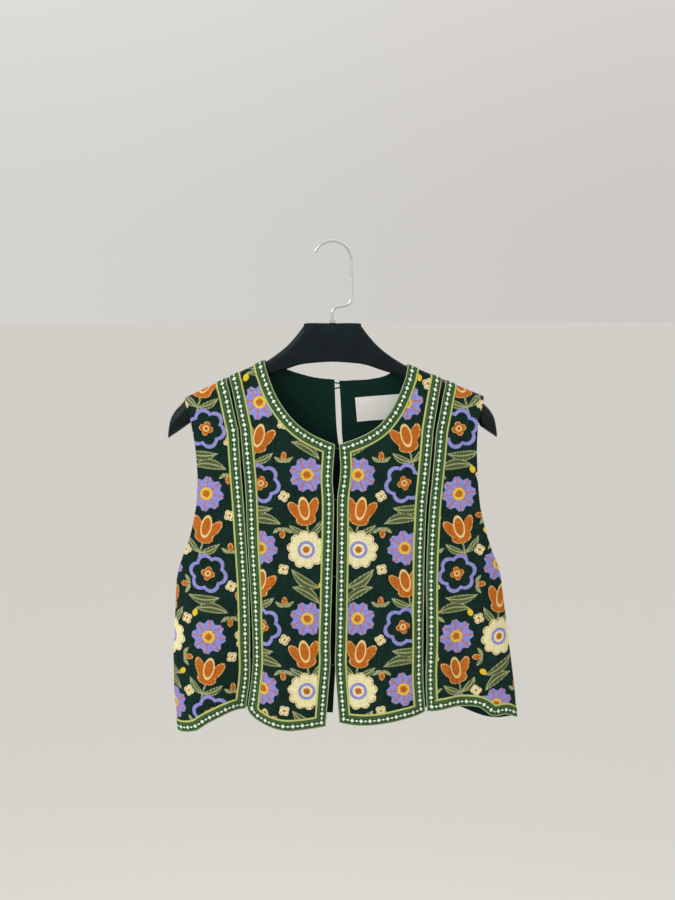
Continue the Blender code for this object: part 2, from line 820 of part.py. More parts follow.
def hanger_arm(side):
    """Rows of one arm from the middle to its tip, its top kept under the cloth's roll."""
    sign = -1.0 if side == "left" else 1.0
    drop = HANGER_CLEAR + CLOTH
    start, top, under, _ = HANGER_SHAPE[-1]
    rows = [(sign * row[0],) + row[1:] for row in HANGER_SHAPE]
    for x in np.linspace(start + HANGER_ARM_STEP, HANGER_TIP_X, 8):
        share = (x - start) / (HANGER_TIP_X - start)
        ridge = float(ridge_z(np.array(sign * x))) - drop
        tall = (1.0 - share) * (top - under) + share * HANGER_TIP_TALL
        rows.append((sign * x, ridge, ridge - tall, float(hanger_half_thick(np.array(x)))))
    lift = HANGER_END_LIFT * (rows[-1][1] - HANGER_END[0][1])
    for x, high, low, thick in HANGER_END:
        rows.append((sign * x, high + lift, low + lift, thick))
    return rows


def add_loft(name, rows, finish):
    """Sections joined into one closed solid, with a flat face at each end."""
    vertices = []
    for row in rows:
        vertices.extend(hanger_section(*row))
    count = len(vertices) // len(rows)
    faces = []
    for i in range(len(rows) - 1):
        for j in range(count):
            a = i * count + j
            b = i * count + (j + 1) % count
            faces.append((a, b, b + count, a + count))
    faces.append(tuple(range(count))[::-1])
    faces.append(tuple(range((len(rows) - 1) * count, len(rows) * count)))
    mesh = bpy.data.meshes.new(name)
    mesh.from_pydata(vertices, [], faces)
    mesh.update()
    middle = sum((v.co for v in mesh.vertices), Vector()) / len(vertices)
    outwards = sum((face.center - middle).dot(face.normal) * face.area for face in mesh.polygons)
    if outwards < 0.0:
        mesh.flip_normals()
    mesh.shade_smooth()
    mesh.set_sharp_from_angle(angle=math.radians(40.0))
    add_object(name, mesh, finish)


def build_hanger():
    """The moulded body in three solids, the middle and two arms, a seam's gap apart."""
    finish = material("hanger", rough=0.42)
    arms = {side: hanger_arm(side) for side in ("left", "right")}
    inner = {side: [row for row in arms[side] if abs(row[0]) <= HANGER_JOINT_X] for side in arms}
    add_loft("hanger_body", inner["left"][::-1] + inner["right"][1:], finish)
    for side, sign in (("left", -1.0), ("right", 1.0)):
        outer = arms[side][len(inner[side]) - 1 :]
        x, high, low, thick = outer[0]
        step = SEAM / abs(outer[1][0] - x)
        joint = (
            x + sign * SEAM,
            high + step * (outer[1][1] - high),
            low + step * (outer[1][2] - low),
            thick + step * (outer[1][3] - thick),
        )
        add_loft(f"hanger_arm_{side}", [joint] + outer[1:], finish)


def build_hook():
    """The wire hook on its ferrule: up, out to the right, and over in one round bend."""
    ferrule_base = HANGER_TOP_Z + SEAM
    bpy.ops.mesh.primitive_cylinder_add(
        vertices=20,
        radius=FERRULE_RADIUS,
        depth=FERRULE_TALL,
        location=(0.0, 0.0, ferrule_base + 0.5 * FERRULE_TALL),
    )
    ferrule = bpy.context.object
    ferrule.name = "hook_ferrule"
    for collection in list(ferrule.users_collection):
        collection.objects.unlink(ferrule)
    bpy.data.collections["waistcoat"].objects.link(ferrule)
    ferrule.data.materials.append(material("wire", rough=0.25, metal=1.0))
    foot = ferrule_base + FERRULE_TALL + SEAM
    centre = 0.5 * HOOK_WIRE - HOOK_BEND
    stem = [(0.0, foot)] + list(HOOK_STEM)
    bend = []
    for k in range(25):
        turn = math.radians(HOOK_END_DEG) * k / 24.0
        bend.append((HOOK_BEND * math.cos(turn), centre + HOOK_BEND * math.sin(turn)))
    route = [(x, 0.0, z) for x, z in stem + bend]
    add_tube("hook_wire", route, 0.5 * HOOK_WIRE, material("wire", rough=0.25, metal=1.0))


def build_neck_closure(points):
    """A button on the outside of the left back and a cord loop from the right back."""
    left = points["back_left"]
    right = points["back_right"]
    a = edge_x_at(left, 0, CLOSURE_Z)
    b = edge_x_at(right, 0, CLOSURE_Z)
    face = max(a[1], b[1]) + BUTTON_STAND
    centre = (a[0] - BUTTON_IN, face + 0.5 * BUTTON_THICK, CLOSURE_Z)
    bpy.ops.mesh.primitive_cylinder_add(
        vertices=20,
        radius=BUTTON_RADIUS,
        depth=BUTTON_THICK,
        location=centre,
        rotation=(math.radians(90.0), 0.0, 0.0),
    )
    button = bpy.context.object
    button.name = "neck_button"
    for collection in list(button.users_collection):
        collection.objects.unlink(button)
    bpy.data.collections["waistcoat"].objects.link(button)
    button.data.materials.append(material("thread"))
    reach = BUTTON_RADIUS + SEAM + 0.5 * LOOP_CORD
    line = face + 0.5 * LOOP_CORD
    start_x = b[0] + LOOP_FOOT
    route = [(start_x, line, CLOSURE_Z + LOOP_GAP)]
    for turn in np.radians(np.linspace(LOOP_START_DEG, 360.0 - LOOP_START_DEG, 15)):
        route.append((centre[0] + reach * math.cos(turn), line, CLOSURE_Z + reach * math.sin(turn)))
    route.append((start_x, line, CLOSURE_Z - LOOP_GAP))
    add_tube("neck_loop", route, 0.5 * LOOP_CORD, material("thread"))


def build_label(points):
    """A blank woven label inside the right back, laid on that panel's own faces."""
    panel = points["back_right"]
    normals = grid_normals(panel, "back")
    tree = BVHTree.FromPolygons([tuple(p) for p in panel.reshape(-1, 3)], grid_faces(*panel.shape[:2]))
    tilt = math.radians(LABEL_TILT_DEG)
    across, down = np.meshgrid(np.linspace(0.0, LABEL_SIZE[0], 7), np.linspace(0.0, LABEL_SIZE[1], 4))
    x = LABEL_CORNER[0] + across * math.cos(tilt) + down * math.sin(tilt)
    z = LABEL_CORNER[1] + across * math.sin(tilt) - down * math.cos(tilt)
    placed = []
    for px, pz in zip(x.ravel(), z.ravel()):
        hit, _, _, _ = tree.ray_cast(Vector((px, 0.0, pz)), Vector((0.0, 1.0, 0.0)))
        placed.append((px, hit.y - CLOTH - LABEL_CLEAR, pz))
    inward = -normals[normals.shape[0] // 3, normals.shape[1] // 3]
    faces = grid_faces(*x.shape)
    add_wall("label", placed, [inward] * len(placed), faces, LABEL_THICK, 1.0, material("label", rough=0.6))


def main():
    for old in list(bpy.data.objects):
        bpy.data.objects.remove(old, do_unlink=True)
    collection = bpy.data.collections.new("waistcoat")
    bpy.context.scene.collection.children.link(collection)
    points, corners = build_panels()
    build_cloth(points, corners)
    build_bars(points)
    build_neck_closure(points)
    build_label(points)
    build_hanger()
    build_hook()


main()
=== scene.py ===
import math

import bpy
import numpy as np
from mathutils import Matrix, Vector


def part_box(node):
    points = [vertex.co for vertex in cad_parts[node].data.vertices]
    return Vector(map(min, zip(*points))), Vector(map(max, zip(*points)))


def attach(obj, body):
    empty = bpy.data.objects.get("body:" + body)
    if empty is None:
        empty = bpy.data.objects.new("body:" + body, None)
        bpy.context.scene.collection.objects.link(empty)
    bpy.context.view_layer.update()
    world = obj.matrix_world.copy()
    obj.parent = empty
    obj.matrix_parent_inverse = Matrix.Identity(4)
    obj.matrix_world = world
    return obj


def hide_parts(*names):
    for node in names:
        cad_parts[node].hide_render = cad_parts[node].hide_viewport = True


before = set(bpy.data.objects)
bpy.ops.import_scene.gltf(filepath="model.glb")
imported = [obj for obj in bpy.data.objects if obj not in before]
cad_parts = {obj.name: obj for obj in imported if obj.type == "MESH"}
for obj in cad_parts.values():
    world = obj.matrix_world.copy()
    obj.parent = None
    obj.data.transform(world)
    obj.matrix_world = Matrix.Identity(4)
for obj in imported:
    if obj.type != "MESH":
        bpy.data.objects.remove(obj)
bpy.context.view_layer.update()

# Hanger body.
# The real one is a broad moulded hanger of satin black plastic. Its two arms
# widen towards the ends, so that the shoulders of the waistcoat lie on a round.

CLOTH_THICK = 0.0016
HANGER_CLEAR = 0.0004
NECK_POINT_X = {"left": -0.0880, "right": 0.0975}
SHOULDER_TIP_X = {"left": -0.1915, "right": 0.1963}
RIDGE_AT_NECK_Z = {"left": -0.1500, "right": -0.1556}
RIDGE_SLOPE = {"left": 0.468, "right": 0.415}
HANGER_NECK = (
    (0.0000, -0.1025, -0.1522, 0.0060),
    (0.0335, -0.1025, -0.1545, 0.0060),
    (0.0375, -0.1065, -0.1552, 0.0060),
    (0.0462, -0.1180, -0.1570, 0.0062),
    (0.0590, -0.1320, -0.1615, 0.0066),
    (0.0730, -0.1432, -0.1660, 0.0072),
    (0.0860, -0.1517, -0.1695, 0.0080),
)
HANGER_END = (
    (0.1930, -0.2045, -0.2385, 0.0158),
    (0.1980, -0.2100, -0.2420, 0.0154),
    (0.2045, -0.2168, -0.2465, 0.0146),
    (0.2100, -0.2263, -0.2500, 0.0130),
    (0.2126, -0.2376, -0.2520, 0.0105),
    (0.2140, -0.2470, -0.2525, 0.0070),
)
HANGER_TIP_HALF_THICK = 0.0160
HANGER_TIP_X = 0.1900
HANGER_TIP_TALL = 0.0350
HANGER_END_LIFT = 0.3
HANGER_OVAL_POWER = 2.6
HANGER_PARTING_TALL = 0.00018
HANGER_THINNEST = 0.0058
HANGER_CAP_SHARES = (0.92, 0.72, 0.42)
HANGER_CAP_OUT = 0.0011
PLASTIC = (0.0026, 0.0078, 0.0092, 1.0)
PLASTIC_WORN = (0.0042, 0.0104, 0.0122, 1.0)


def smooth(x):
    """0 below 0, 1 above 1, and an even S between: x squared times (3 less 2x)."""
    x = np.clip(x, 0.0, 1.0)
    return x * x * (3.0 - 2.0 * x)


def ridge_z(x):
    """Height of the shoulder ridge: one straight slope down from each neck point."""
    left = RIDGE_AT_NECK_Z["left"] + RIDGE_SLOPE["left"] * (x - NECK_POINT_X["left"])
    right = RIDGE_AT_NECK_Z["right"] - RIDGE_SLOPE["right"] * (x - NECK_POINT_X["right"])
    return np.where(x < 0.0, left, right)


def hanger_half_thick(x):
    """Half thickness of the arm: an even S from the neck's to the broad end's."""
    start, thick = HANGER_NECK[-1][0], HANGER_NECK[-1][3]
    share = smooth((np.abs(x) - start) / (HANGER_TIP_X - start))
    return thick + (HANGER_TIP_HALF_THICK - thick) * share


def curve_through(rows, steps):
    """A smooth line through the rows: a cubic on each span, its slope half of the two beside."""
    rows = np.array(rows, float)
    ahead = np.vstack([rows[1:], 2 * rows[-1] - rows[-2]])
    behind = np.vstack([2 * rows[0] - rows[1], rows[:-1]])
    slope = ((ahead - behind) / 2.0)[:, None, :]
    t = np.linspace(0.0, 1.0, steps, endpoint=False)[None, :, None]
    from_row, to_row = rows[:-1, None, :], rows[1:, None, :]
    spans = (1 + 2 * t) * (1 - t) ** 2 * from_row + t * (1 - t) ** 2 * slope[:-1]
    spans = spans + t * t * (3 - 2 * t) * to_row + t * t * (t - 1) * slope[1:]
    return np.vstack([spans.reshape(-1, rows.shape[1]), rows[-1:]])


def cells_of(rows, columns, round_columns=False):
    """Quads of a grid of points, row by row; round_columns joins the last column to the first."""
    across = columns if round_columns else columns - 1
    i, j = np.meshgrid(np.arange(rows - 1), np.arange(across), indexing="ij")
    k = (j + 1) % columns
    row, under = i * columns, (i + 1) * columns
    return np.stack([row + j, row + k, under + k, under + j], axis=-1).reshape(-1, 4)


def closed_mesh(name, points, quads, caps=(), slots=None, attributes=None, sharp=45.0):
    """A mesh whose faces point outwards: they are turned over if its signed volume is negative."""
    points = np.asarray(points, float).reshape(-1, 3)
    a, b, c, d = (points[quads[:, k]] for k in range(4))
    volume = np.sum(a * np.cross(b, c)) + np.sum(a * np.cross(c, d))
    turn = -1 if volume < 0.0 else 1
    faces = [tuple(q) for q in quads[:, ::turn].tolist()]
    faces.extend(tuple(cap[::turn]) for cap in caps)
    mesh = bpy.data.meshes.new(name)
    mesh.from_pydata(points.tolist(), [], faces)
    mesh.update()
    for key, values in (attributes or {}).items():
        store = mesh.attributes.new(key, "FLOAT_VECTOR", "POINT")
        store.data.foreach_set("vector", np.ascontiguousarray(values, dtype=np.float32).ravel())
    if slots is not None:
        mesh.polygons.foreach_set("material_index", np.asarray(slots, dtype=np.int32))
    mesh.shade_smooth()
    mesh.set_sharp_from_angle(angle=math.radians(sharp))
    made = bpy.data.objects.new(name, mesh)
    bpy.context.scene.collection.objects.link(made)
    return made


def finish_named(name):
    """A new material: itself, its node tree and its main shader."""
    made = bpy.data.materials.new(name)
    made.use_nodes = True
    return made, made.node_tree, made.node_tree.nodes["Principled BSDF"]


def feed(tree, value, socket):
    """Join another node's socket to an input, or set the input's own number or colour."""
    if isinstance(value, bpy.types.NodeSocket):
        tree.links.new(value, socket)
    else:
        socket.default_value = value


def node(tree, kind, settings=None, **inputs):
    """One shader node, its settings, and its inputs by name."""
    made = tree.nodes.new("ShaderNode" + kind)
    for key, value in (settings or {}).items():
        setattr(made, key, value)
    for key, value in inputs.items():
        feed(tree, value, made.inputs[key.replace("_", " ")])
    return made


def maths(tree, operation, first, second=0.0):
    """One sum on two numbers or sockets, by its name."""
    made = node(tree, "Math", {"operation": operation})
    feed(tree, first, made.inputs[0])
    feed(tree, second, made.inputs[1])
    return made.outputs[0]


def times(tree, first, second):
    """Two numbers or sockets multiplied."""
    return maths(tree, "MULTIPLY", first, second)


def apart(tree, first, second):
    """How far two numbers lie from each other."""
    return maths(tree, "ABSOLUTE", maths(tree, "SUBTRACT", first, second))


def mixed(tree, share, first, second):
    """A colour between two, by share."""
    made = node(tree, "Mix", {"data_type": "RGBA"})
    feed(tree, share, made.inputs[0])
    feed(tree, first, made.inputs[6])
    feed(tree, second, made.inputs[7])
    return made.outputs[2]


def spread(tree, value, low, high, to_low=0.0, to_high=1.0):
    """An even S from to_low at low to to_high at high, or the other way round."""
    made = node(tree, "MapRange", {"interpolation_type": "SMOOTHSTEP"})
    for place, number in enumerate((value, low, high, to_low, to_high)):
        feed(tree, number, made.inputs[place])
    return made.outputs[0]


def noise(tree, where, scale, detail=2.0, rough=0.5):
    """A cloudy field from 0 to 1, with scale lumps to a unit of where."""
    made = node(tree, "TexNoise", None, Vector=where, Scale=scale, Detail=detail, Roughness=rough)
    return made.outputs[0]


def relief(tree, shader, height, distance, strength=1.0):
    """A bump of the given distance in metres on the shader's normal."""
    made = node(tree, "Bump", None, Strength=strength, Distance=distance, Height=height)
    tree.links.new(made.outputs[0], shader.inputs["Normal"])


def hanger_rows():
    """Sections along one line from tip to tip: distance, top, under side, half thickness."""
    drop = HANGER_CLEAR + CLOTH_THICK
    arms = []
    for sign in (-1.0, 1.0):
        arm = np.array(HANGER_NECK)
        x = np.linspace(HANGER_NECK[-1][0] + 0.008, HANGER_TIP_X, 8)
        share = (x - HANGER_NECK[-1][0]) / (HANGER_TIP_X - HANGER_NECK[-1][0])
        top = ridge_z(sign * x) - drop
        tall = (1.0 - share) * (HANGER_NECK[-1][1] - HANGER_NECK[-1][2]) + share * HANGER_TIP_TALL
        middle = np.stack([x, top, top - tall, hanger_half_thick(x)], axis=-1)
        end = np.array(HANGER_END)
        end[:, 1:3] += HANGER_END_LIFT * (middle[-1, 1] - end[0, 1])
        arm = np.vstack([arm, middle, end])
        arm[:, 0] *= sign
        arms.append(arm)
    return np.vstack([arms[0][::-1], arms[1][1:]])


def hanger_surface(rows, sides=44):
    """Each section is a tall superellipse with a fine parting ridge along its top."""
    turn = np.linspace(0.0, 2.0 * math.pi, sides, endpoint=False)[None, :]
    x, top, under, thick = (rows[:, k : k + 1] for k in range(4))
    power = 2.0 / HANGER_OVAL_POWER
    across = np.sign(np.cos(turn)) * np.abs(np.cos(turn)) ** power
    up = np.sign(np.sin(turn)) * np.abs(np.sin(turn)) ** power
    parting = HANGER_PARTING_TALL * np.exp(-((turn - 0.5 * math.pi) / 0.075) ** 2)
    z = 0.5 * (top + under) + 0.5 * (top - under) * up + parting
    y = thick * across * np.where(up > 0.0, 1.0, 1.0 - 0.16 * up * up)
    return np.stack([np.broadcast_to(x, y.shape), y, z], axis=-1)


hanger_line = curve_through(hanger_rows(), 5)
hanger_line[:, 3] = np.clip(hanger_line[:, 3], HANGER_THINNEST, HANGER_TIP_HALF_THICK)
cap_share = np.array(HANGER_CAP_SHARES)[:, None]
hanger_caps = []
for end_row, outward in ((hanger_line[0], -1.0), (hanger_line[-1], 1.0)):
    middle = 0.5 * (end_row[1] + end_row[2])
    cap = np.repeat(end_row[None, :], 3, axis=0)
    cap[:, 0] += outward * HANGER_CAP_OUT * (1.0 - cap_share[:, 0])
    cap[:, 1:3] = middle + (cap[:, 1:3] - middle) * cap_share
    cap[:, 3:] *= cap_share
    hanger_caps.append(cap)
hanger_line = np.vstack([hanger_caps[0][::-1], hanger_line, hanger_caps[1]])
hanger_points = hanger_surface(hanger_line)
hanger_count = hanger_points.shape[1]
hanger_last = (len(hanger_points) - 1) * hanger_count
hanger_body = closed_mesh(
    "hanger",
    hanger_points,
    cells_of(len(hanger_points), hanger_count, True),
    caps=(list(range(hanger_count))[::-1], list(range(hanger_last, hanger_last + hanger_count))),
)

plastic, tree, shader = finish_named("satin_black_plastic")
place = node(tree, "TexCoord").outputs["Object"]
cloudy = noise(tree, place, 38.0, 4.0)
grain = noise(tree, place, 2600.0, 2.0)
colour = mixed(tree, spread(tree, cloudy, 0.35, 0.75), PLASTIC, PLASTIC_WORN)
tree.links.new(colour, shader.inputs["Base Color"])
tree.links.new(spread(tree, cloudy, 0.2, 0.8, 0.36, 0.47), shader.inputs["Roughness"])
shader.inputs["Specular IOR Level"].default_value = 0.17
relief(tree, shader, grain, 0.00004, 0.5)
hanger_body.data.materials.append(plastic)
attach(hanger_body, "root")
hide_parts("hanger_body", "hanger_arm_left", "hanger_arm_right")

# Hook and its ferrule.
# The hook is one bent steel wire, bright plated, screwed into the hanger through
# a short turned collar. It swivels there, and its free end is rounded off.

HOOK_WIRE = 0.0036
HOOK_BEND = 0.0247
HOOK_END_DEG = 152.0
FERRULE_BASE_Z = -0.1022
HOOK_STEM = (
    (0.0000, -0.0971),
    (0.0000, -0.0880),
    (0.0020, -0.0843),
    (0.0070, -0.0818),
    (0.0160, -0.0802),
    (0.0208, -0.0782),
    (0.0232, -0.0742),
    (0.0240, -0.0660),
    (0.0247, -0.0450),
)
STEEL = (0.62, 0.63, 0.64, 1.0)


def tube(path, radius, beside, sides=14):
    """Rings round a path. Each ring lies across the path's run, set by the beside direction."""
    path = np.asarray(path, float)
    run = np.gradient(path, axis=0)
    run /= np.linalg.norm(run, axis=1)[:, None]
    beside = np.broadcast_to(np.asarray(beside, float), path.shape)
    first = np.cross(beside, run)
    first /= np.linalg.norm(first, axis=1)[:, None]
    second = np.cross(run, first)
    dome = np.radians([86.0, 68.0, 48.0, 26.0])[:, None]
    radius = np.broadcast_to(np.asarray(radius, float), (len(path),))
    start = path[0] - run[0] * radius[0] * np.sin(dome)
    end = path[-1] + run[-1] * radius[-1] * np.sin(dome[::-1])
    centres = np.vstack([start, path, end])
    dome_size = np.cos(dome[:, 0])
    sizes = np.concatenate([radius[0] * dome_size, radius, radius[-1] * dome_size[::-1]])
    first = np.vstack([np.repeat(first[:1], 4, 0), first, np.repeat(first[-1:], 4, 0)])
    second = np.vstack([np.repeat(second[:1], 4, 0), second, np.repeat(second[-1:], 4, 0)])
    turn = np.linspace(0.0, 2.0 * math.pi, sides, endpoint=False)[None, :, None]
    outward = first[:, None] * np.cos(turn) + second[:, None] * np.sin(turn)
    return centres[:, None, :] + sizes[:, None, None] * outward


def ring_mesh(name, rings, **more):
    """A closed mesh from rings of points, with a flat face at each end."""
    rows, sides = rings.shape[:2]
    last = (rows - 1) * sides
    caps = (list(range(sides))[::-1], list(range(last, last + sides)))
    return closed_mesh(name, rings, cells_of(rows, sides, True), caps=caps, **more)


hook_turn = np.radians(np.linspace(0.0, HOOK_END_DEG, 60))[1:]
hook_centre_z = 0.5 * HOOK_WIRE - HOOK_BEND
hook_stem = curve_through(HOOK_STEM, 8)
hook_bend = HOOK_BEND * np.stack([np.cos(hook_turn), np.sin(hook_turn)], axis=-1)
hook_bend[:, 1] += hook_centre_z
hook_rise = np.stack([np.full(6, HOOK_BEND), np.linspace(-0.0435, hook_centre_z, 6)], axis=-1)
hook_route = np.vstack([hook_stem, hook_rise, hook_bend])
hook_path = np.insert(hook_route, 1, 0.0, axis=1)
hook = ring_mesh("hook", tube(hook_path, 0.5 * HOOK_WIRE, (0.0, 1.0, 0.0), 24))

COLLAR = (
    (0.0000, 0.0030),
    (0.0000, 0.0039),
    (0.0004, 0.0043),
    (0.0017, 0.0043),
    (0.0020, 0.0039),
    (0.0025, 0.0039),
    (0.0028, 0.0043),
    (0.0042, 0.0043),
    (0.0048, 0.0038),
    (0.0048, 0.0024),
)
collar_rise, collar_radius = np.array(COLLAR).T
collar_turn = np.linspace(0.0, 2.0 * math.pi, 40, endpoint=False)
collar_points = np.stack(
    [
        collar_radius[:, None] * np.cos(collar_turn),
        collar_radius[:, None] * np.sin(collar_turn),
        FERRULE_BASE_Z + np.repeat(collar_rise[:, None], 40, axis=1),
    ],
    axis=-1,
)
ferrule = ring_mesh("ferrule", collar_points, sharp=35.0)

steel, tree, shader = finish_named("plated_steel")
place = node(tree, "TexCoord").outputs["Object"]
marks = noise(tree, place, 900.0, 3.0)
shader.inputs["Base Color"].default_value = STEEL
shader.inputs["Metallic"].default_value = 1.0
tree.links.new(spread(tree, marks, 0.3, 0.8, 0.14, 0.26), shader.inputs["Roughness"])
relief(tree, shader, marks, 0.00001, 0.5)
for piece, cad_node in ((hook, "hook_wire"), (ferrule, "hook_ferrule")):
    piece.data.materials.append(steel)
    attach(piece, "root")
    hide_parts(cad_node)

# Back halves.
# Each half is one piece of printed linen from shoulder to hem, with a plain dark
# backing. The two lie edge to edge down the centre back and join the fronts at
# the shoulder and the side. The body form of all the cloth is set here.

SEAM = 0.00004
RING_POWER = 2.6
ROLL_BLEND = 0.10
ROLL_ROWS = 20
ROLL_REACH = 0.045
BACK_ROLL_REACH = 0.014
ARMHOLE_SPLIT_Z = -0.3100
HEM_FADE_TOP_Z = -0.4000
HEM_FADE_TALL = 0.2200
# Columns: height, half width at left, half width at right, front depth, back depth.
RING = (
    (-0.150, 0.250, 0.262, 0.0240, 0.0240),
    (-0.200, 0.238, 0.246, 0.0255, 0.0255),
    (-0.260, 0.212, 0.226, 0.0260, 0.0260),
    (-0.300, 0.203, 0.219, 0.0265, 0.0265),
    (-0.384, 0.205, 0.222, 0.0285, 0.0280),
    (-0.443, 0.2072, 0.2242, 0.0290, 0.0285),
    (-0.540, 0.2133, 0.2378, 0.0290, 0.0280),
    (-0.590, 0.2130, 0.2448, 0.0290, 0.0275),
    (-0.650, 0.2085, 0.2500, 0.0290, 0.0270),
)
# Columns: x at the hem, x at the top, height where it starts, half width, depth, face.
FOLDS = (
    (-0.1120, -0.1150, -0.330, 0.036, 0.0170, "front"),
    (-0.1780, -0.1650, -0.380, 0.040, -0.0080, "front"),
    (-0.0560, -0.0600, -0.300, 0.045, -0.0040, "front"),
    (0.1240, 0.1240, -0.340, 0.030, 0.0085, "front"),
    (0.1740, 0.1650, -0.420, 0.026, 0.0100, "front"),
    (0.2150, 0.2050, -0.440, 0.024, -0.0050, "front"),
    (0.0620, 0.0640, -0.300, 0.048, -0.0035, "front"),
    (-0.1300, -0.1200, -0.330, 0.034, 0.0100, "back"),
    (-0.0650, -0.0700, -0.290, 0.036, -0.0050, "back"),
    (0.0750, 0.0700, -0.300, 0.038, 0.0080, "back"),
    (0.1400, 0.1350, -0.350, 0.034, -0.0060, "back"),
)
FOLDS_HEM_Z = -0.6455
# Columns: x, z.
BACK_NECK = {
    "left": (
        (-0.0800, -0.1590),
        (-0.0642, -0.1642),
        (-0.0469, -0.1682),
        (-0.0236, -0.1730),
        (0.0026, -0.1763),
    ),
    "right": (
        (0.0900, -0.1630),
        (0.0794, -0.1690),
        (0.0690, -0.1729),
        (0.0585, -0.1750),
        (0.0468, -0.1761),
        (0.0305, -0.1770),
        (0.0090, -0.1777),
    ),
}
CENTRE_BACK = {
    "left": (
        (0.0040, -0.2150),
        (0.0062, -0.2500),
        (0.0108, -0.2800),
        (0.0120, -0.3200),
        (0.0098, -0.4200),
        (0.0066, -0.5200),
        (0.0034, -0.5750),
        (0.0002, -0.6340),
    ),
    "right": (
        (0.0112, -0.2150),
        (0.0126, -0.2500),
        (0.0166, -0.2850),
        (0.0175, -0.3300),
        (0.0156, -0.4200),
        (0.0126, -0.5200),
        (0.0104, -0.5750),
        (0.0085, -0.6340),
    ),
}
ARMHOLE = {
    "left": (
        (-0.1833, -0.2277),
        (-0.1775, -0.2613),
        (-0.1750, -0.3000),
        (-0.1776, -0.3384),
        (-0.1861, -0.3780),
        (-0.1953, -0.4021),
        (-0.2023, -0.4220),
        (-0.2072, -0.4430),
    ),
    "right": (
        (0.1885, -0.2277),
        (0.1868, -0.2613),
        (0.1882, -0.3000),
        (0.1925, -0.3384),
        (0.2010, -0.3740),
        (0.2100, -0.4000),
        (0.2180, -0.4200),
        (0.2242, -0.4430),
    ),
}
SIDE_HEM_Z = {"left": -0.6455, "right": -0.6290}
# Columns: share of the way across from the inner edge, drop below a straight hem.
BACK_HEM_DROP = {
    "left": (
        (0.0, 0.0),
        (0.25, -0.0030),
        (0.42, -0.0120),
        (0.52, -0.0175),
        (0.60, -0.0185),
        (0.66, -0.0165),
        (0.74, -0.0090),
        (0.82, -0.0035),
        (0.90, 0.0),
        (1.0, 0.0),
    ),
    "right": (
        (0.0, 0.0),
        (0.30, -0.0010),
        (0.50, -0.0045),
        (0.61, -0.0085),
        (0.66, -0.0095),
        (0.71, -0.0062),
        (0.77, 0.0012),
        (0.83, 0.0060),
        (0.89, 0.0094),
        (0.95, 0.0050),
        (1.0, 0.0),
    ),
}
BACK_ROWS = (58, 165)
BACK_COLUMNS = 104
BACK_PRINT_START = (0.0, 40.0)

GROUND = (0.0014, 0.0130, 0.0090, 1.0)
GROUND_PALE = (0.0036, 0.0270, 0.0195, 1.0)
LAVENDER = (0.3150, 0.3050, 0.6900, 1.0)
LAVENDER_DEEP = (0.2350, 0.2250, 0.5700, 1.0)
ORANGE = (0.5700, 0.1520, 0.0110, 1.0)
RUST = (0.4200, 0.1050, 0.0130, 1.0)
CREAM = (0.8100, 0.7600, 0.4400, 1.0)
STRAW = (0.7600, 0.6200, 0.2600, 1.0)
YELLOW = (0.7900, 0.5400, 0.0260, 1.0)
OLIVE = (0.0820, 0.1080, 0.0380, 1.0)
OLIVE_PALE = (0.4100, 0.4400, 0.2300, 1.0)
LINING = (0.0026, 0.0210, 0.0150, 1.0)


def ring(z, column):
    """One column of the table of rings at a height, on straight lines between its rows."""
    table = np.array(RING)[::-1]
    return np.interp(z, table[:, 0], table[:, column])


def roll_radius(x):
    """Radius of the cloth's outside over the shoulder: hanger, gap and cloth."""
    return hanger_half_thick(x) + HANGER_CLEAR + CLOTH_THICK


def fold_depth(x, z, face):
    """Sum of the soft folds of one face: each a cosine bell that deepens to the hem."""
    total = np.zeros_like(x)
    for hem_x, top_x, start, half, depth, side in FOLDS:
        if side == face:
            fall = np.clip((start - z) / (start - FOLDS_HEM_Z), 0.0, 1.1)
            away = np.abs(x - (top_x + (hem_x - top_x) * fall)) / half
            total += depth * fall * 0.5 * (1.0 + np.cos(math.pi * np.clip(away, 0.0, 1.0)))
    return total


def crease_depth(x, z, face):
    """Small soft creases: long leaning waves, cross waves and fine ones, less at the shoulder."""
    turn = 2.0 * math.pi
    shift = 0.0 if face == "front" else 2.4
    lean = 1.6 * np.sin(turn * (z / 0.23 + x / 0.31) + shift)
    long_wave = np.sin(turn * x / 0.047 + lean + shift) * np.sin(turn * (z / 0.37 + x / 0.90) + 0.6)
    bend = 2.1 * np.sin(turn * x / 0.11 + shift)
    cross_wave = np.sin(turn * (z / 0.061 + x / 0.16) + bend)
    cross_wave = cross_wave * np.sin(turn * (x / 0.083 - z / 0.21) + 1.1)
    fine_wave = np.sin(turn * (z / 0.019 + x / 0.035) + 1.5 * np.sin(turn * z / 0.07))
    fine_wave = fine_wave * np.sin(turn * (x / 0.031 + z / 0.09) + shift)
    fade = smooth((ridge_z(x) - z - 0.012) / 0.09)
    return fade * (0.00095 * long_wave + 0.00055 * cross_wave + 0.00012 * fine_wave)


def on_cloth(x, z, face):
    """Points of the outside of the cloth at x and z.

    A ring of superellipse form at each height, less the folds and creases,
    blends at the shoulder into a quarter round of the hanger's own radius.
    """
    width = np.where(x < 0.0, ring(z, 1), ring(z, 2))
    side = np.clip(1.0 - (np.abs(x) / width) ** RING_POWER, 0.0, None) ** (1.0 / RING_POWER)
    below = np.clip(ridge_z(x) - z, 0.0, None)
    radius = roll_radius(x)
    turned = 1.0 - np.clip(below / radius, 0.0, 1.0)
    roll = radius * np.sqrt(np.clip(1.0 - turned * turned, 0.0, 1.0))
    share = smooth(below / ROLL_BLEND)
    full = ring(z, 3 if face == "front" else 4) - fold_depth(x, z, face) - crease_depth(x, z, face)
    depth = np.maximum(roll * (1.0 - share) + full * side * share, 0.5 * SEAM)
    return np.stack([x, -depth if face == "front" else depth, z], axis=-1)


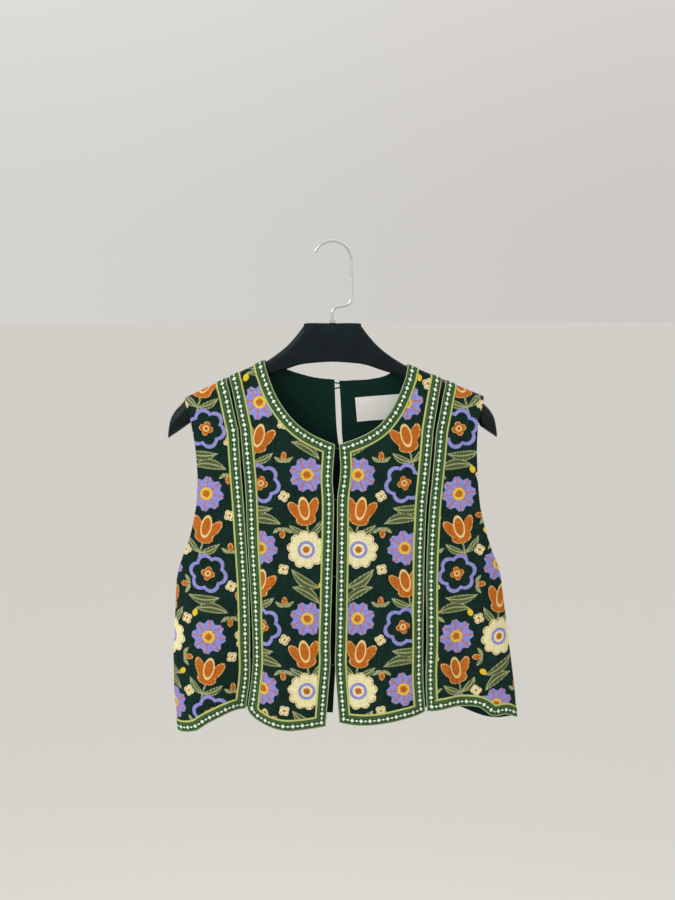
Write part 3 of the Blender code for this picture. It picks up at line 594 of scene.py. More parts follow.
def evenly_along(rows, count):
    """Points at even steps of the run along the smooth line through the rows."""
    line = curve_through(rows, 24)
    run = np.concatenate([[0.0], np.cumsum(np.linalg.norm(np.diff(line, axis=0), axis=1))])
    steps = np.linspace(0.0, run[-1], count + 1)
    return np.stack([np.interp(steps, run, line[:, k]) for k in range(2)], axis=-1)


def edge_line(start_x, upper, lower, counts):
    """One edge from ridge to hem: the roll's rows, then even rows above and below a corner."""
    top = float(ridge_z(start_x))
    drops = roll_radius(start_x) * (1.0 - np.cos(np.linspace(0.0, 0.5 * math.pi, ROLL_ROWS)))
    lean = (upper[0][0] - start_x) / (upper[0][1] - top)
    roll = np.stack([start_x - lean * drops, top - drops], axis=-1)
    rows = [tuple(roll[-1])] + [row for row in upper if row[1] < roll[-1][1] - 0.002]
    first = evenly_along(rows, counts[0])[1:]
    second = evenly_along([tuple(first[-1])] + list(lower), counts[1])[1:]
    return np.vstack([roll, first, second])


def outer_edge(side, hem_z, counts):
    """The armhole from the shoulder tip to the underarm, then the side seam on the ring's width."""
    sign, column = (-1.0, 1) if side == "left" else (1.0, 2)
    upper = [row for row in ARMHOLE[side] if row[1] > ARMHOLE_SPLIT_Z]
    lower = [row for row in ARMHOLE[side] if row[1] <= ARMHOLE_SPLIT_Z]
    underarm = ARMHOLE[side][-1][1]
    for z in np.linspace(underarm, hem_z, 7)[1:]:
        lower.append((sign * float(ring(z, column)), float(z)))
    line = edge_line(SHOULDER_TIP_X[side], upper, lower, counts)
    seam = line[:, 1] < underarm
    line[seam, 0] = sign * ring(line[seam, 1], column)
    return line


def panel_grid(inner, outer, shares, hem_drop, reach=ROLL_REACH):
    """Rows of (x, z) from the inner to the outer edge.

    The hem's own drop fades in down the panel. The first rows lie on the roll, and
    what that moves the last of them by fades out over reach below it.
    """
    grid = inner[:, None, :] + (outer - inner)[:, None, :] * shares[None, :, None]
    table = np.array(hem_drop)
    fine = np.linspace(0.0, 1.0, 41)
    line = np.interp(fine, table[:, 0], table[:, 1])
    soft = np.convolve(np.pad(line, 2, mode="edge"), np.ones(5) / 5.0, mode="valid")
    soft[[0, -1]] = line[[0, -1]]
    fade = smooth((HEM_FADE_TOP_Z - grid[..., 1]) / HEM_FADE_TALL)
    grid[..., 1] -= np.interp(shares, fine, soft) * fade
    x = grid[:ROLL_ROWS, :, 0]
    angle = np.linspace(0.0, 0.5 * math.pi, ROLL_ROWS)[:, None]
    level = ridge_z(x) - roll_radius(x) * (1.0 - np.cos(angle))
    shift = level[-1] - grid[ROLL_ROWS - 1, :, 1]
    grid[:ROLL_ROWS, :, 1] = level
    below = level[-1] - shift - grid[ROLL_ROWS:, :, 1]
    grid[ROLL_ROWS:, :, 1] += shift * (1.0 - smooth(below / reach))
    return grid


def to_seam(count):
    """Columns from 0 to 1 that close up towards the side seam."""
    t = np.linspace(0.0, 1.0, count + 1)
    shares = 0.25 * t + 0.75 * np.sin(0.5 * math.pi * t)
    return np.concatenate([shares[:-1], [0.9985, 0.9996, 1.0]])


def grid_normals(points):
    """Mean of the cells' normals round each point, turned away from the hanger's plane."""
    cells = np.cross(points[1:, 1:] - points[:-1, :-1], points[1:, :-1] - points[:-1, 1:])
    cells /= np.maximum(np.linalg.norm(cells, axis=2), 1e-12)[..., None]
    middle = (points.shape[0] // 2, points.shape[1] // 2)
    cells *= np.sign(cells[middle][1] * points[middle][1])
    total = np.zeros_like(points)
    for down in (slice(None, -1), slice(1, None)):
        for across in (slice(None, -1), slice(1, None)):
            total[down, across] += cells
    return total / np.linalg.norm(total, axis=2)[..., None]


def flat_cut(points):
    """Place on the flat cloth in metres: the run across the point's row, and down to the hem."""
    step = np.diff(points, axis=1)
    sign = np.sign(points[-1, -1, 0] - points[-1, 0, 0])
    run = np.cumsum(np.hypot(step[..., 0], step[..., 1]), axis=1)
    across = points[:, :1, 0] + sign * np.concatenate([np.zeros((len(points), 1)), run], axis=1)
    rise = np.diff(points, axis=0)
    fall = np.cumsum(np.hypot(rise[..., 1], rise[..., 2])[::-1], axis=0)[::-1]
    down = -points[-1:, :, 2] - np.concatenate([fall, np.zeros((1, points.shape[1]))])
    return np.stack([across, down, np.zeros_like(down)], axis=-1)


def flat_size(cut):
    """Width, length and area of the flat cut, in metres."""
    u, v = cut[..., 0], cut[..., 1]
    first = (u[1:, 1:] - u[:-1, :-1]) * (v[1:, :-1] - v[:-1, 1:])
    second = (v[1:, 1:] - v[:-1, :-1]) * (u[1:, :-1] - u[:-1, 1:])
    return float(np.ptp(u)), float(np.ptp(v)), float(np.abs(np.sum(first - second)) / 2.0)


def two_sided(name, outside, inside, **more):
    """Two grids of points joined round their rims into one closed sheet."""
    rows, columns = outside.shape[:2]
    count = rows * columns
    face = cells_of(rows, columns)
    top = np.arange(columns)
    right = np.arange(1, rows) * columns + columns - 1
    bottom = (rows - 1) * columns + np.arange(columns - 2, -1, -1)
    left = np.arange(rows - 2, 0, -1) * columns
    rim = np.concatenate([top, right, bottom, left])
    ahead = np.roll(rim, -1)
    wall = np.stack([ahead, rim, rim + count, ahead + count], axis=-1)
    quads = np.vstack([face, face[:, ::-1] + count, wall])
    slots = np.concatenate([np.zeros(len(face)), np.ones(len(face)), np.zeros(len(wall))])
    points = np.vstack([outside.reshape(-1, 3), inside.reshape(-1, 3)])
    return closed_mesh(name, points, quads, slots=slots, **more)


# The printed flowers are a layout of the part's own. Lengths here are in
# millimetres on the flat cloth, and each field is a distance to a motif's edge,
# below 0 inside it. The line field is 0 along the strokes within a motif.

REPEAT = (118.0, 190.0)
FAR = 6.0
MOTIF_REACH = 44.0
MOTIF_MARGIN = 40.0
STROKE_REACH = 1.8


def lobed(a, b, radius, lobes, depth, power=1.0, turned=0.0):
    """Distance to a round flower: its radius swings between notch and petal as a cosine does."""
    away = np.hypot(a, b)
    angle = np.arctan2(b, a) + turned
    swing = np.abs(np.cos(0.5 * lobes * angle)) ** power
    return away - radius * (1.0 - depth + depth * swing), away, angle


def oval(a, b, centre, half, turned_deg):
    """Distance to an oval, near enough: its scaled radius less 1, times its short half."""
    turned = math.radians(turned_deg)
    x, y = a - centre[0], b - centre[1]
    along_x = x * math.cos(turned) + y * math.sin(turned)
    along_y = y * math.cos(turned) - x * math.sin(turned)
    return (np.hypot(along_x / half[0], along_y / half[1]) - 1.0) * min(half)


def pointed_leaf(a, b, centre, half, turned_deg, bow):
    """Distance to a leaf: a band of parabola width round a bowed rib, and the rib itself."""
    turned = math.radians(turned_deg)
    x, y = a - centre[0], b - centre[1]
    run = x * math.cos(turned) + y * math.sin(turned)
    rib = y * math.cos(turned) - x * math.sin(turned) - bow * (run / half[0]) ** 2
    body = np.abs(rib) - half[1] * (1.0 - (run / half[0]) ** 2)
    body = np.where(np.abs(run) < half[0], 0.85 * body, np.maximum(0.85 * body, np.abs(run) - half[0]))
    return body, rib


def daisy(a, b):
    """Eight lavender petals with strokes between them, round an orange eye in a yellow ring."""
    edge, away, angle = lobed(a, b, 23.0, 8, 0.26, 0.7)
    scallop = 0.55 * np.cos(24.0 * angle)
    line = np.where(away > 6.8, -away * np.sin(4.0 * angle) / 4.0, FAR)
    made = {"lavender": edge + scallop, "yellow": away - 8.2, "orange": away - 5.4, "line": line}
    return made, edge


def cream_rosette(a, b):
    """Ten cream petals with short strokes between them, round a lavender ring and an orange eye."""
    edge, away, angle = lobed(a, b, 25.5, 10, 0.17, 0.8)
    line = np.where(away > 12.5, away * np.cos(5.0 * angle) / 5.0, FAR)
    ring_band = np.abs(away - 9.6) - 1.9
    return {"cream": edge, "lavender": ring_band, "orange": away - 4.8, "line": line}, edge


def ring_flower(a, b):
    """A lavender outline of six lobes round a small orange blossom."""
    edge, away, angle = lobed(a, b, 24.0, 6, 0.22, 0.9)
    blossom, _, _ = lobed(a, b, 9.5, 4, 0.42, 0.8)
    return {"lavender": np.abs(edge) - 2.5, "orange": blossom, "line": away - 3.2}, edge - 2.5


def tulip(a, b):
    """An orange tulip of three petals on a cup, with a stalk and two leaves."""
    middle = oval(a, b, (0.0, 5.0), (7.2, 15.5), 0.0)
    left = oval(a, b, (-11.0, 3.5), (6.6, 15.0), 30.0)
    right = oval(a, b, (11.0, 3.5), (6.6, 15.0), -30.0)
    cup = oval(a, b, (0.0, -9.5), (13.0, 8.0), 0.0)
    edge = np.minimum(np.minimum(left, right), np.minimum(middle, cup))
    leaf_left, rib_left = pointed_leaf(a, b, (-13.0, -24.0), (15.0, 5.0), -38.0, 3.0)
    leaf_right, rib_right = pointed_leaf(a, b, (13.0, -24.0), (15.0, 5.0), 38.0, 3.0)
    stalk = np.maximum(np.abs(a) - 1.5, np.abs(b + 26.0) - 11.0)
    leaf = np.minimum(np.minimum(leaf_left, leaf_right), stalk)
    rib = np.where(leaf_left < leaf_right, rib_left, rib_right)
    line = np.where(edge < 1.5, middle + 0.8, rib)
    return {"orange": edge, "leaf": leaf, "line": line}, np.minimum(edge, leaf)


def leaf_spray(a, b):
    """Two crossed olive leaves with pale ribs and a yellow bud."""
    upper, rib_upper = pointed_leaf(a, b, (4.0, 6.0), (23.0, 7.0), 22.0, 5.0)
    lower, rib_lower = pointed_leaf(a, b, (-4.0, -7.0), (22.0, 6.6), 200.0, 5.0)
    leaf = np.minimum(upper, lower)
    bud = oval(a, b, (-20.0, 7.0), (3.6, 5.0), 40.0)
    rib = np.where(upper < lower, rib_upper, rib_lower)
    return {"leaf": leaf, "yellow": bud, "line": rib}, np.minimum(leaf, bud)


def small_blossom(a, b):
    """Four small petals in cream with an orange eye."""
    edge, away, _ = lobed(a, b, 7.6, 4, 0.34, 0.8, 0.6)
    return {"cream": edge, "orange": away - 2.3}, edge


def bud_pair(a, b):
    """An orange bud between two small leaves."""
    bud = oval(a, b, (0.0, 2.0), (3.8, 6.0), 0.0)
    left, rib_left = pointed_leaf(a, b, (-6.5, -3.0), (7.5, 2.9), -30.0, 1.0)
    right, rib_right = pointed_leaf(a, b, (6.5, -3.0), (7.5, 2.9), 30.0, 1.0)
    leaf = np.minimum(left, right)
    rib = np.where(left < right, rib_left, rib_right)
    return {"orange": bud, "leaf": leaf, "line": rib}, np.minimum(bud, leaf)


# Columns: motif, place across and down in the repeat, turn in degrees.
LAYOUT = (
    (leaf_spray, 29.0, 63.0, 12.0),
    (leaf_spray, 88.0, 158.0, 165.0),
    (tulip, 90.0, 60.0, 14.0),
    (tulip, 30.0, 155.0, -10.0),
    (cream_rosette, 28.0, 14.0, 9.0),
    (ring_flower, 87.0, 117.0, 15.0),
    (daisy, 88.0, 12.0, 8.0),
    (daisy, 27.0, 106.0, 20.0),
    (small_blossom, 58.0, 40.0, 0.0),
    (small_blossom, 57.0, 134.0, 20.0),
    (bud_pair, 57.0, 84.0, 0.0),
    (bud_pair, 59.0, 181.0, 180.0),
    (bud_pair, 0.0, 40.0, 90.0),
    (small_blossom, 117.0, 86.0, 45.0),
    (bud_pair, 0.0, 132.0, -90.0),
    (small_blossom, 117.0, 178.0, 10.0),
)


def print_fields(cut, offset):
    """The fields of the print at each point, from the motifs of every repeat that reaches it."""
    across = np.abs(cut[..., 0].ravel()) * 1000.0 + offset[0]
    down = cut[..., 1].ravel() * 1000.0 + offset[1]
    inks = ("lavender", "orange", "cream", "leaf", "yellow", "line")
    fields = {key: np.full(across.shape, FAR) for key in inks}
    nearest = np.full(across.shape, FAR)
    first, last = [], []
    for values, step in zip((across, down), REPEAT):
        first.append(int(math.floor((values.min() - MOTIF_MARGIN) / step)))
        last.append(int(math.ceil((values.max() + MOTIF_MARGIN) / step)))
    for motif, place_across, place_down, turned_deg in LAYOUT:
        turned = math.radians(turned_deg)
        for i in range(first[0], last[0] + 1):
            for j in range(first[1], last[1] + 1):
                x = across - (place_across + i * REPEAT[0])
                y = (place_down + j * REPEAT[1]) - down
                near = np.hypot(x, y) < MOTIF_REACH
                if not near.any():
                    continue
                a = x[near] * math.cos(turned) + y[near] * math.sin(turned)
                b = y[near] * math.cos(turned) - x[near] * math.sin(turned)
                made, edge = motif(a, b)
                line = made.pop("line", None)
                closer = edge < np.minimum(nearest[near], STROKE_REACH)
                if line is not None:
                    fields["line"][near] = np.where(closer, line, fields["line"][near])
                nearest[near] = np.minimum(nearest[near], edge)
                for key, value in made.items():
                    fields[key][near] = np.minimum(fields[key][near], value)
    flower = np.stack([fields[key] for key in ("lavender", "orange", "cream")], axis=-1)
    detail = np.stack([fields[key] for key in ("leaf", "yellow", "line")], axis=-1)
    return {
        "flower": np.clip(flower, -FAR, FAR),
        "detail": np.clip(detail, -FAR, FAR),
        "cut": cut.reshape(-1, 3),
    }


def both_sides(fields):
    """The same fields for the outside and the inside points."""
    return {key: np.vstack([value, value]) for key, value in fields.items()}


def weave(tree, across, down):
    """Height of a plain linen weave: two sets of threads of uneven thickness."""
    where = node(tree, "CombineXYZ", None, X=across, Y=down).outputs[0]
    slubs = []
    for scale in ((900.0, 45.0, 1.0), (45.0, 900.0, 1.0)):
        drawn = node(tree, "Mapping", None, Vector=where, Scale=scale).outputs[0]
        slubs.append(noise(tree, drawn, 1.0, 3.0))
    warp = maths(tree, "SINE", times(tree, across, 2.0 * math.pi / 0.00072))
    weft = maths(tree, "SINE", times(tree, down, 2.0 * math.pi / 0.00078))
    threads = times(tree, times(tree, warp, weft), 0.35)
    slub = maths(tree, "ADD", *slubs)
    return maths(tree, "ADD", threads, slub), slub


def cut_sockets(tree):
    """The attribute that holds each point's place on the flat cloth, in metres."""
    cut = node(tree, "Attribute", {"attribute_name": "cut"}).outputs["Vector"]
    return node(tree, "SeparateXYZ", None, Vector=cut).outputs[:2]


def printed_linen():
    """Bottle-green linen, its print laid in order: leaves, cream, lavender, yellow, orange."""
    made, tree, shader = finish_named("printed_linen")
    across, down = cut_sockets(tree)
    threads, slub = weave(tree, across, down)
    where = node(tree, "CombineXYZ", None, X=across, Y=down).outputs[0]
    ragged = times(tree, maths(tree, "SUBTRACT", noise(tree, where, 900.0, 2.0), 0.5), 1.5)
    stitch = maths(tree, "ADD", across, times(tree, down, 0.63))
    stitch = maths(tree, "SINE", times(tree, stitch, 2.0 * math.pi / 0.0034))
    dashes = spread(tree, maths(tree, "ADD", stitch, times(tree, ragged, 0.7)), -0.45, 0.10)
    flower = node(tree, "Attribute", {"attribute_name": "flower"}).outputs["Vector"]
    detail = node(tree, "Attribute", {"attribute_name": "detail"}).outputs["Vector"]
    lavender, orange, cream = node(tree, "SeparateXYZ", None, Vector=flower).outputs[:3]
    leaf, yellow, line = node(tree, "SeparateXYZ", None, Vector=detail).outputs[:3]
    fields = {"lavender": lavender, "orange": orange, "cream": cream, "leaf": leaf, "yellow": yellow}
    fields = {key: maths(tree, "ADD", field, ragged) for key, field in fields.items()}
    inside = {key: spread(tree, field, -0.35, 0.35, 1.0, 0.0) for key, field in fields.items()}
    rims = {}
    for key, deep, shallow, edge, out in (
        ("leaf", -1.9, -1.3, -0.6, 0.1),
        ("cream", -2.8, -2.2, -1.3, -0.8),
        ("orange", -1.1, -0.7, -0.3, 0.2),
    ):
        from_inside = spread(tree, fields[key], deep, shallow)
        to_edge = spread(tree, fields[key], edge, out, 1.0, 0.0)
        rims[key] = times(tree, times(tree, from_inside, to_edge), dashes)
    stroke = spread(tree, maths(tree, "ABSOLUTE", line), 0.55, 1.05, 1.0, 0.0)
    flat_ink = spread(tree, noise(tree, where, 260.0, 4.0, 0.6), 0.30, 0.70)
    colour = mixed(tree, spread(tree, slub, 0.80, 1.20), GROUND, GROUND_PALE)
    leaf_colour = mixed(tree, rims["leaf"], OLIVE, OLIVE_PALE)
    leaf_colour = mixed(tree, times(tree, stroke, 0.85), leaf_colour, OLIVE_PALE)
    colour = mixed(tree, inside["leaf"], colour, leaf_colour)
    cream_colour = mixed(tree, rims["cream"], CREAM, RUST)
    cream_colour = mixed(tree, times(tree, stroke, dashes), cream_colour, STRAW)
    colour = mixed(tree, inside["cream"], colour, cream_colour)
    lavender_colour = mixed(tree, flat_ink, LAVENDER, LAVENDER_DEEP)
    lavender_colour = mixed(tree, stroke, lavender_colour, ORANGE)
    colour = mixed(tree, inside["lavender"], colour, lavender_colour)
    colour = mixed(tree, inside["yellow"], colour, YELLOW)
    orange_colour = mixed(tree, flat_ink, ORANGE, RUST)
    orange_colour = mixed(tree, maths(tree, "MAXIMUM", stroke, rims["orange"]), orange_colour, STRAW)
    colour = mixed(tree, inside["orange"], colour, orange_colour)
    worn = spread(tree, slub, 0.72, 1.25, 0.84, 1.10)
    shade = node(tree, "VectorMath", {"operation": "SCALE"}, Scale=worn)
    tree.links.new(colour, shade.inputs[0])
    tree.links.new(shade.outputs[0], shader.inputs["Base Color"])
    shader.inputs["Roughness"].default_value = 0.82
    shader.inputs["Specular IOR Level"].default_value = 0.14
    shader.inputs["Sheen Weight"].default_value = 0.03
    shader.inputs["Sheen Roughness"].default_value = 0.5
    relief(tree, shader, threads, 0.00016, 0.75)
    return made


def plain_lining():
    """Dark green plain cloth of the inside, slightly slubbed."""
    made, tree, shader = finish_named("plain_lining")
    across, down = cut_sockets(tree)
    threads, slub = weave(tree, across, down)
    colour = mixed(tree, spread(tree, slub, 0.80, 1.20), LINING, GROUND_PALE)
    tree.links.new(colour, shader.inputs["Base Color"])
    shader.inputs["Roughness"].default_value = 0.86
    shader.inputs["Specular IOR Level"].default_value = 0.12
    shader.inputs["Sheen Weight"].default_value = 0.02
    relief(tree, shader, threads, 0.00016, 0.8)
    return made


printed = printed_linen()
lining = plain_lining()


def make_panel(name, grid, face, offset, held_by):
    """One panel: a closed sheet a cloth's thickness deep, printed outside and plain inside."""
    outside = on_cloth(grid[..., 0], grid[..., 1], face)
    inside = outside - grid_normals(outside) * CLOTH_THICK
    cut = flat_cut(outside)
    made = two_sided(name, outside, inside, attributes=both_sides(print_fields(cut, offset)))
    made.data.materials.append(printed)
    made.data.materials.append(lining)
    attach(made, "root")
    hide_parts(held_by)
    return made, flat_size(cut)


back_grids = {}
back_panels = {}
back_flat = {}
for side in ("left", "right"):
    inner = edge_line(NECK_POINT_X[side], BACK_NECK[side], CENTRE_BACK[side], BACK_ROWS)
    outer = outer_edge(side, SIDE_HEM_Z[side], BACK_ROWS)
    columns = to_seam(BACK_COLUMNS)
    grid = panel_grid(inner, outer, columns, BACK_HEM_DROP[side], BACK_ROLL_REACH)
    made, flat = make_panel(f"back_half_{side}", grid, "back", BACK_PRINT_START, f"back_{side}")
    back_grids[side], back_panels[side], back_flat[side] = grid, made, flat

# Front panels.
# Each front is two pieces of the same linen, a centre panel beside the opening
# and a side panel that runs to the side seam. A slit parts them from shoulder to hem.

SLIT_SPLIT_Z = -0.2850
# Columns: x, z. The neck runs from the shoulder to the corner, which is its last row.
FRONT_NECK = {
    "left": (
        (-0.0852, -0.1635),
        (-0.0790, -0.1804),
        (-0.0707, -0.1976),
        (-0.0593, -0.2145),
        (-0.0461, -0.2293),
        (-0.0309, -0.2410),
        (-0.0150, -0.2495),
        (0.0033, -0.2570),
    ),
    "right": (
        (0.0945, -0.1720),
        (0.0877, -0.1901),
        (0.0785, -0.2085),
        (0.0700, -0.2210),
        (0.0593, -0.2328),
        (0.0442, -0.2430),
        (0.0271, -0.2505),
        (0.0085, -0.2570),
    ),
}
# Columns: x, z, from below the corner to the hem.
CENTRE_FRONT = {
    "left": (
        (0.0010, -0.2880),
        (0.0004, -0.3050),
        (0.0018, -0.3300),
        (0.0015, -0.3690),
        (-0.0006, -0.4430),
        (-0.0026, -0.5150),
        (-0.0025, -0.5450),
        (-0.0046, -0.5750),
        (-0.0090, -0.6327),
    ),
    "right": (
        (0.0102, -0.2860),
        (0.0089, -0.3050),
        (0.0063, -0.3270),
        (0.0059, -0.3690),
        (0.0050, -0.4430),
        (0.0040, -0.5150),
        (0.0032, -0.5450),
        (0.0050, -0.5790),
        (0.0088, -0.6275),
    ),
}
# Columns: x of the centre panel's edge, x of the side panel's edge, z.
SLIT = {
    "left": (
        (-0.1331, -0.1368, -0.1780),
        (-0.1184, -0.1210, -0.2392),
        (-0.1136, -0.1173, -0.3000),
        (-0.1120, -0.1152, -0.3300),
        (-0.1113, -0.1136, -0.3600),
        (-0.1095, -0.1112, -0.4083),
        (-0.1078, -0.1096, -0.4480),
        (-0.1053, -0.1091, -0.5285),
        (-0.1075, -0.1098, -0.5694),
        (-0.1142, -0.1162, -0.6140),
    ),
    "right": (
        (0.1410, 0.1463, -0.1740),
        (0.1302, 0.1337, -0.2392),
        (0.1252, 0.1288, -0.3000),
        (0.1225, 0.1260, -0.3300),
        (0.1210, 0.1243, -0.3600),
        (0.1198, 0.1227, -0.4083),
        (0.1197, 0.1225, -0.4480),
        (0.1194, 0.1238, -0.5200),
        (0.1200, 0.1232, -0.5700),
        (0.1234, 0.1254, -0.6150),
    ),
}
# Columns as for the back: share of the way across, drop below a straight hem.
FRONT_HEM_DROP = {
    "centre_left": (
        (0.0, 0.0),
        (0.15, 0.0050),
        (0.30, 0.0100),
        (0.45, 0.0138),
        (0.58, 0.0154),
        (0.77, 0.0147),
        (0.91, 0.0112),
        (0.97, 0.0076),
        (1.0, 0.0),
    ),
    "centre_right": (
        (0.0, 0.0),
        (0.12, 0.0046),
        (0.28, 0.0072),
        (0.42, 0.0076),
        (0.59, 0.0069),
        (0.76, 0.0053),
        (0.94, 0.0034),
        (1.0, 0.0),
    ),
    "side_left": (
        (0.0, 0.0),
        (0.18, -0.0049),
        (0.27, -0.0054),
        (0.37, -0.0033),
        (0.51, -0.0013),
        (0.60, 0.0012),
        (0.67, 0.0049),
        (0.78, 0.0048),
        (0.89, 0.0038),
        (0.97, 0.0022),
        (1.0, 0.0),
    ),
    "side_right": (
        (0.0, 0.0),
        (0.10, -0.0016),
        (0.20, -0.0079),
        (0.30, -0.0108),
        (0.41, -0.0114),
        (0.51, -0.0144),
        (0.60, -0.0144),
        (0.68, -0.0030),
        (0.75, -0.0034),
        (0.87, -0.0072),
        (0.94, -0.0030),
        (1.0, 0.0),
    ),
}
FRONT_ROWS = (84, 228)
CENTRE_COLUMNS = 74
SIDE_COLUMNS = 74
CENTRE_PRINT_START = (-6.0, 0.0)
SIDE_PRINT_START = (42.0, 70.0)


def slit_edge(side, column, counts):
    """One edge of a slit: it starts on the ridge a little beyond its first row."""
    rows = [(row[column], row[2]) for row in SLIT[side]]
    start_x = rows[0][0] + (rows[0][0] - rows[1][0]) * 0.03
    rows = [row for row in rows if row[1] < float(ridge_z(start_x)) - 0.02]
    upper = [row for row in rows if row[1] > SLIT_SPLIT_Z]
    lower = [row for row in rows if row[1] <= SLIT_SPLIT_Z]
    return edge_line(start_x, upper, lower, counts)


front_grids = {}
front_panels = {}
front_flat = {}
for side in ("left", "right"):
    neck = edge_line(NECK_POINT_X[side], FRONT_NECK[side], CENTRE_FRONT[side], FRONT_ROWS)
    slit_centre = slit_edge(side, 0, FRONT_ROWS)
    slit_side = slit_edge(side, 1, FRONT_ROWS)
    outer = outer_edge(side, SIDE_HEM_Z[side], FRONT_ROWS)
    even = np.linspace(0.0, 1.0, CENTRE_COLUMNS + 1)
    for name, inner, beyond, columns, start in (
        (f"centre_{side}", neck, slit_centre, even, CENTRE_PRINT_START),
        (f"side_{side}", slit_side, outer, to_seam(SIDE_COLUMNS), SIDE_PRINT_START),
    ):
        grid = panel_grid(inner, beyond, columns, FRONT_HEM_DROP[name])
        made, flat = make_panel(f"linen_{name}", grid, "front", start, f"front_{name}")
        front_grids[name], front_panels[name], front_flat[name] = grid, made, flat

# Woven tape.
# One green tape with a row of pale diamonds, a lime band and a corded edge is sewn
# flat on the printed side. It turns each corner on a mitre, and the diamonds with it.

TAPE_WIDTH = 0.0156
DIAMOND_LINE = 0.0065
DIAMOND_PITCH = 0.0123
TAPE_STEP = 0.0016
SEAM_STEP = 0.008
SEAM_REACH = 0.024
MITRE_REACH = 0.035
# Columns: distance from the free edge, height over the cloth. The cord comes first.
TAPE_PROFILE = (
    (0.00000, 0.00000),
    (0.00002, 0.00050),
    (0.00020, 0.00098),
    (0.00060, 0.00122),
    (0.00102, 0.00098),
    (0.00124, 0.00058),
    (0.00150, 0.00062),
    (0.00230, 0.00088),
    (0.00430, 0.00100),
    (0.00650, 0.00106),
    (0.00930, 0.00100),
    (0.01240, 0.00090),
    (0.01298, 0.00068),
    (0.01345, 0.00098),
    (0.01440, 0.00106),
    (0.01510, 0.00086),
    (0.01558, 0.00036),
    (0.01560, 0.00000),
)
TRIM_GREEN = (0.0300, 0.0960, 0.0330, 1.0)
TRIM_GREEN_PAINTED_SHADE = (0.0140, 0.0460, 0.0170, 1.0)
TRIM_PALE = (0.2100, 0.3200, 0.1450, 1.0)
TRIM_OLIVE = (0.0900, 0.1350, 0.0200, 1.0)
TRIM_LIME = (0.5400, 0.6000, 0.2100, 1.0)
TRIM_LIME_PAINTED_SHADE = (0.2900, 0.3600, 0.0900, 1.0)
CORD_PALE = (0.6000, 0.6600, 0.3800, 1.0)
CORD_PAINTED_SHADE = (0.2200, 0.3000, 0.1300, 1.0)
DIAMOND = (0.7700, 0.8800, 0.6900, 1.0)


def half_turn(first, second):
    """Tangent of half the angle between two directions: what a mitre takes off each tape."""
    cosine = float(np.dot(first, second) / (np.linalg.norm(first) * np.linalg.norm(second)))
    return math.sqrt(max(0.0, 1.0 - cosine) / max(1e-6, 1.0 + cosine))


def side_lean(x, z):
    """How far the side seam moves out for each metre up, at the side where x lies."""
    above, below = z + SEAM_STEP, z - SEAM_STEP
    left = (ring(above, 1) - ring(below, 1)) / (2.0 * SEAM_STEP)
    right = (ring(above, 2) - ring(below, 2)) / (2.0 * SEAM_STEP)
    return np.where(x < 0.0, -left, right)


def edge_points(edge, s, offset, towards, from_ridge, to_side_seam):
    """Points at a run s along an edge, moved in by the offset.

    Where the edge starts on the shoulder, the moved points keep the turn of the
    roll: their drop below the ridge is their own radius times the same share.
    Where it ends at a side seam, they move up along the seam.
    """
    step = np.linalg.norm(np.diff(edge, axis=0), axis=1)
    run = np.concatenate([[0.0], np.cumsum(step)])
    even = np.linspace(0.0, run[-1], 241)
    line = np.stack([np.interp(even, run, edge[:, k]) for k in range(2)], axis=-1)
    slope = np.gradient(line, even, axis=0)
    slope /= np.linalg.norm(slope, axis=1)[:, None]
    normal = np.stack([-slope[:, 1], slope[:, 0]], axis=-1)
    normal *= np.sign(np.sum(normal * (towards - line)))
    x, z = (np.interp(s, run, edge[:, k]) for k in range(2))
    normal_x, normal_z = (np.interp(s, even, normal[:, k]) for k in range(2))
    if to_side_seam:
        seam = 1.0 - smooth((run[-1] - s) / SEAM_REACH)
        normal_x = normal_x + (side_lean(x, z) - normal_x) * seam
        normal_z = normal_z + (1.0 - normal_z) * seam
    moved_x, moved_z = x + normal_x * offset, z + normal_z * offset
    if not from_ridge:
        return moved_x, moved_z
    drop = ridge_z(x) - z
    cosine = np.clip(1.0 - drop / roll_radius(x), 0.0, 1.0)
    level = ridge_z(moved_x) - roll_radius(moved_x) * (1.0 - cosine)
    beyond = smooth((drop - roll_radius(x)) / ROLL_REACH)
    keep = np.where(drop < roll_radius(x), 1.0, 1.0 - beyond)
    foot = np.argmin(np.abs(drop - roll_radius(x)), axis=0)
    shift = np.take_along_axis(level - moved_z, foot[None, :], axis=0)
    return moved_x, np.where(drop < roll_radius(x), level, moved_z + shift * keep)


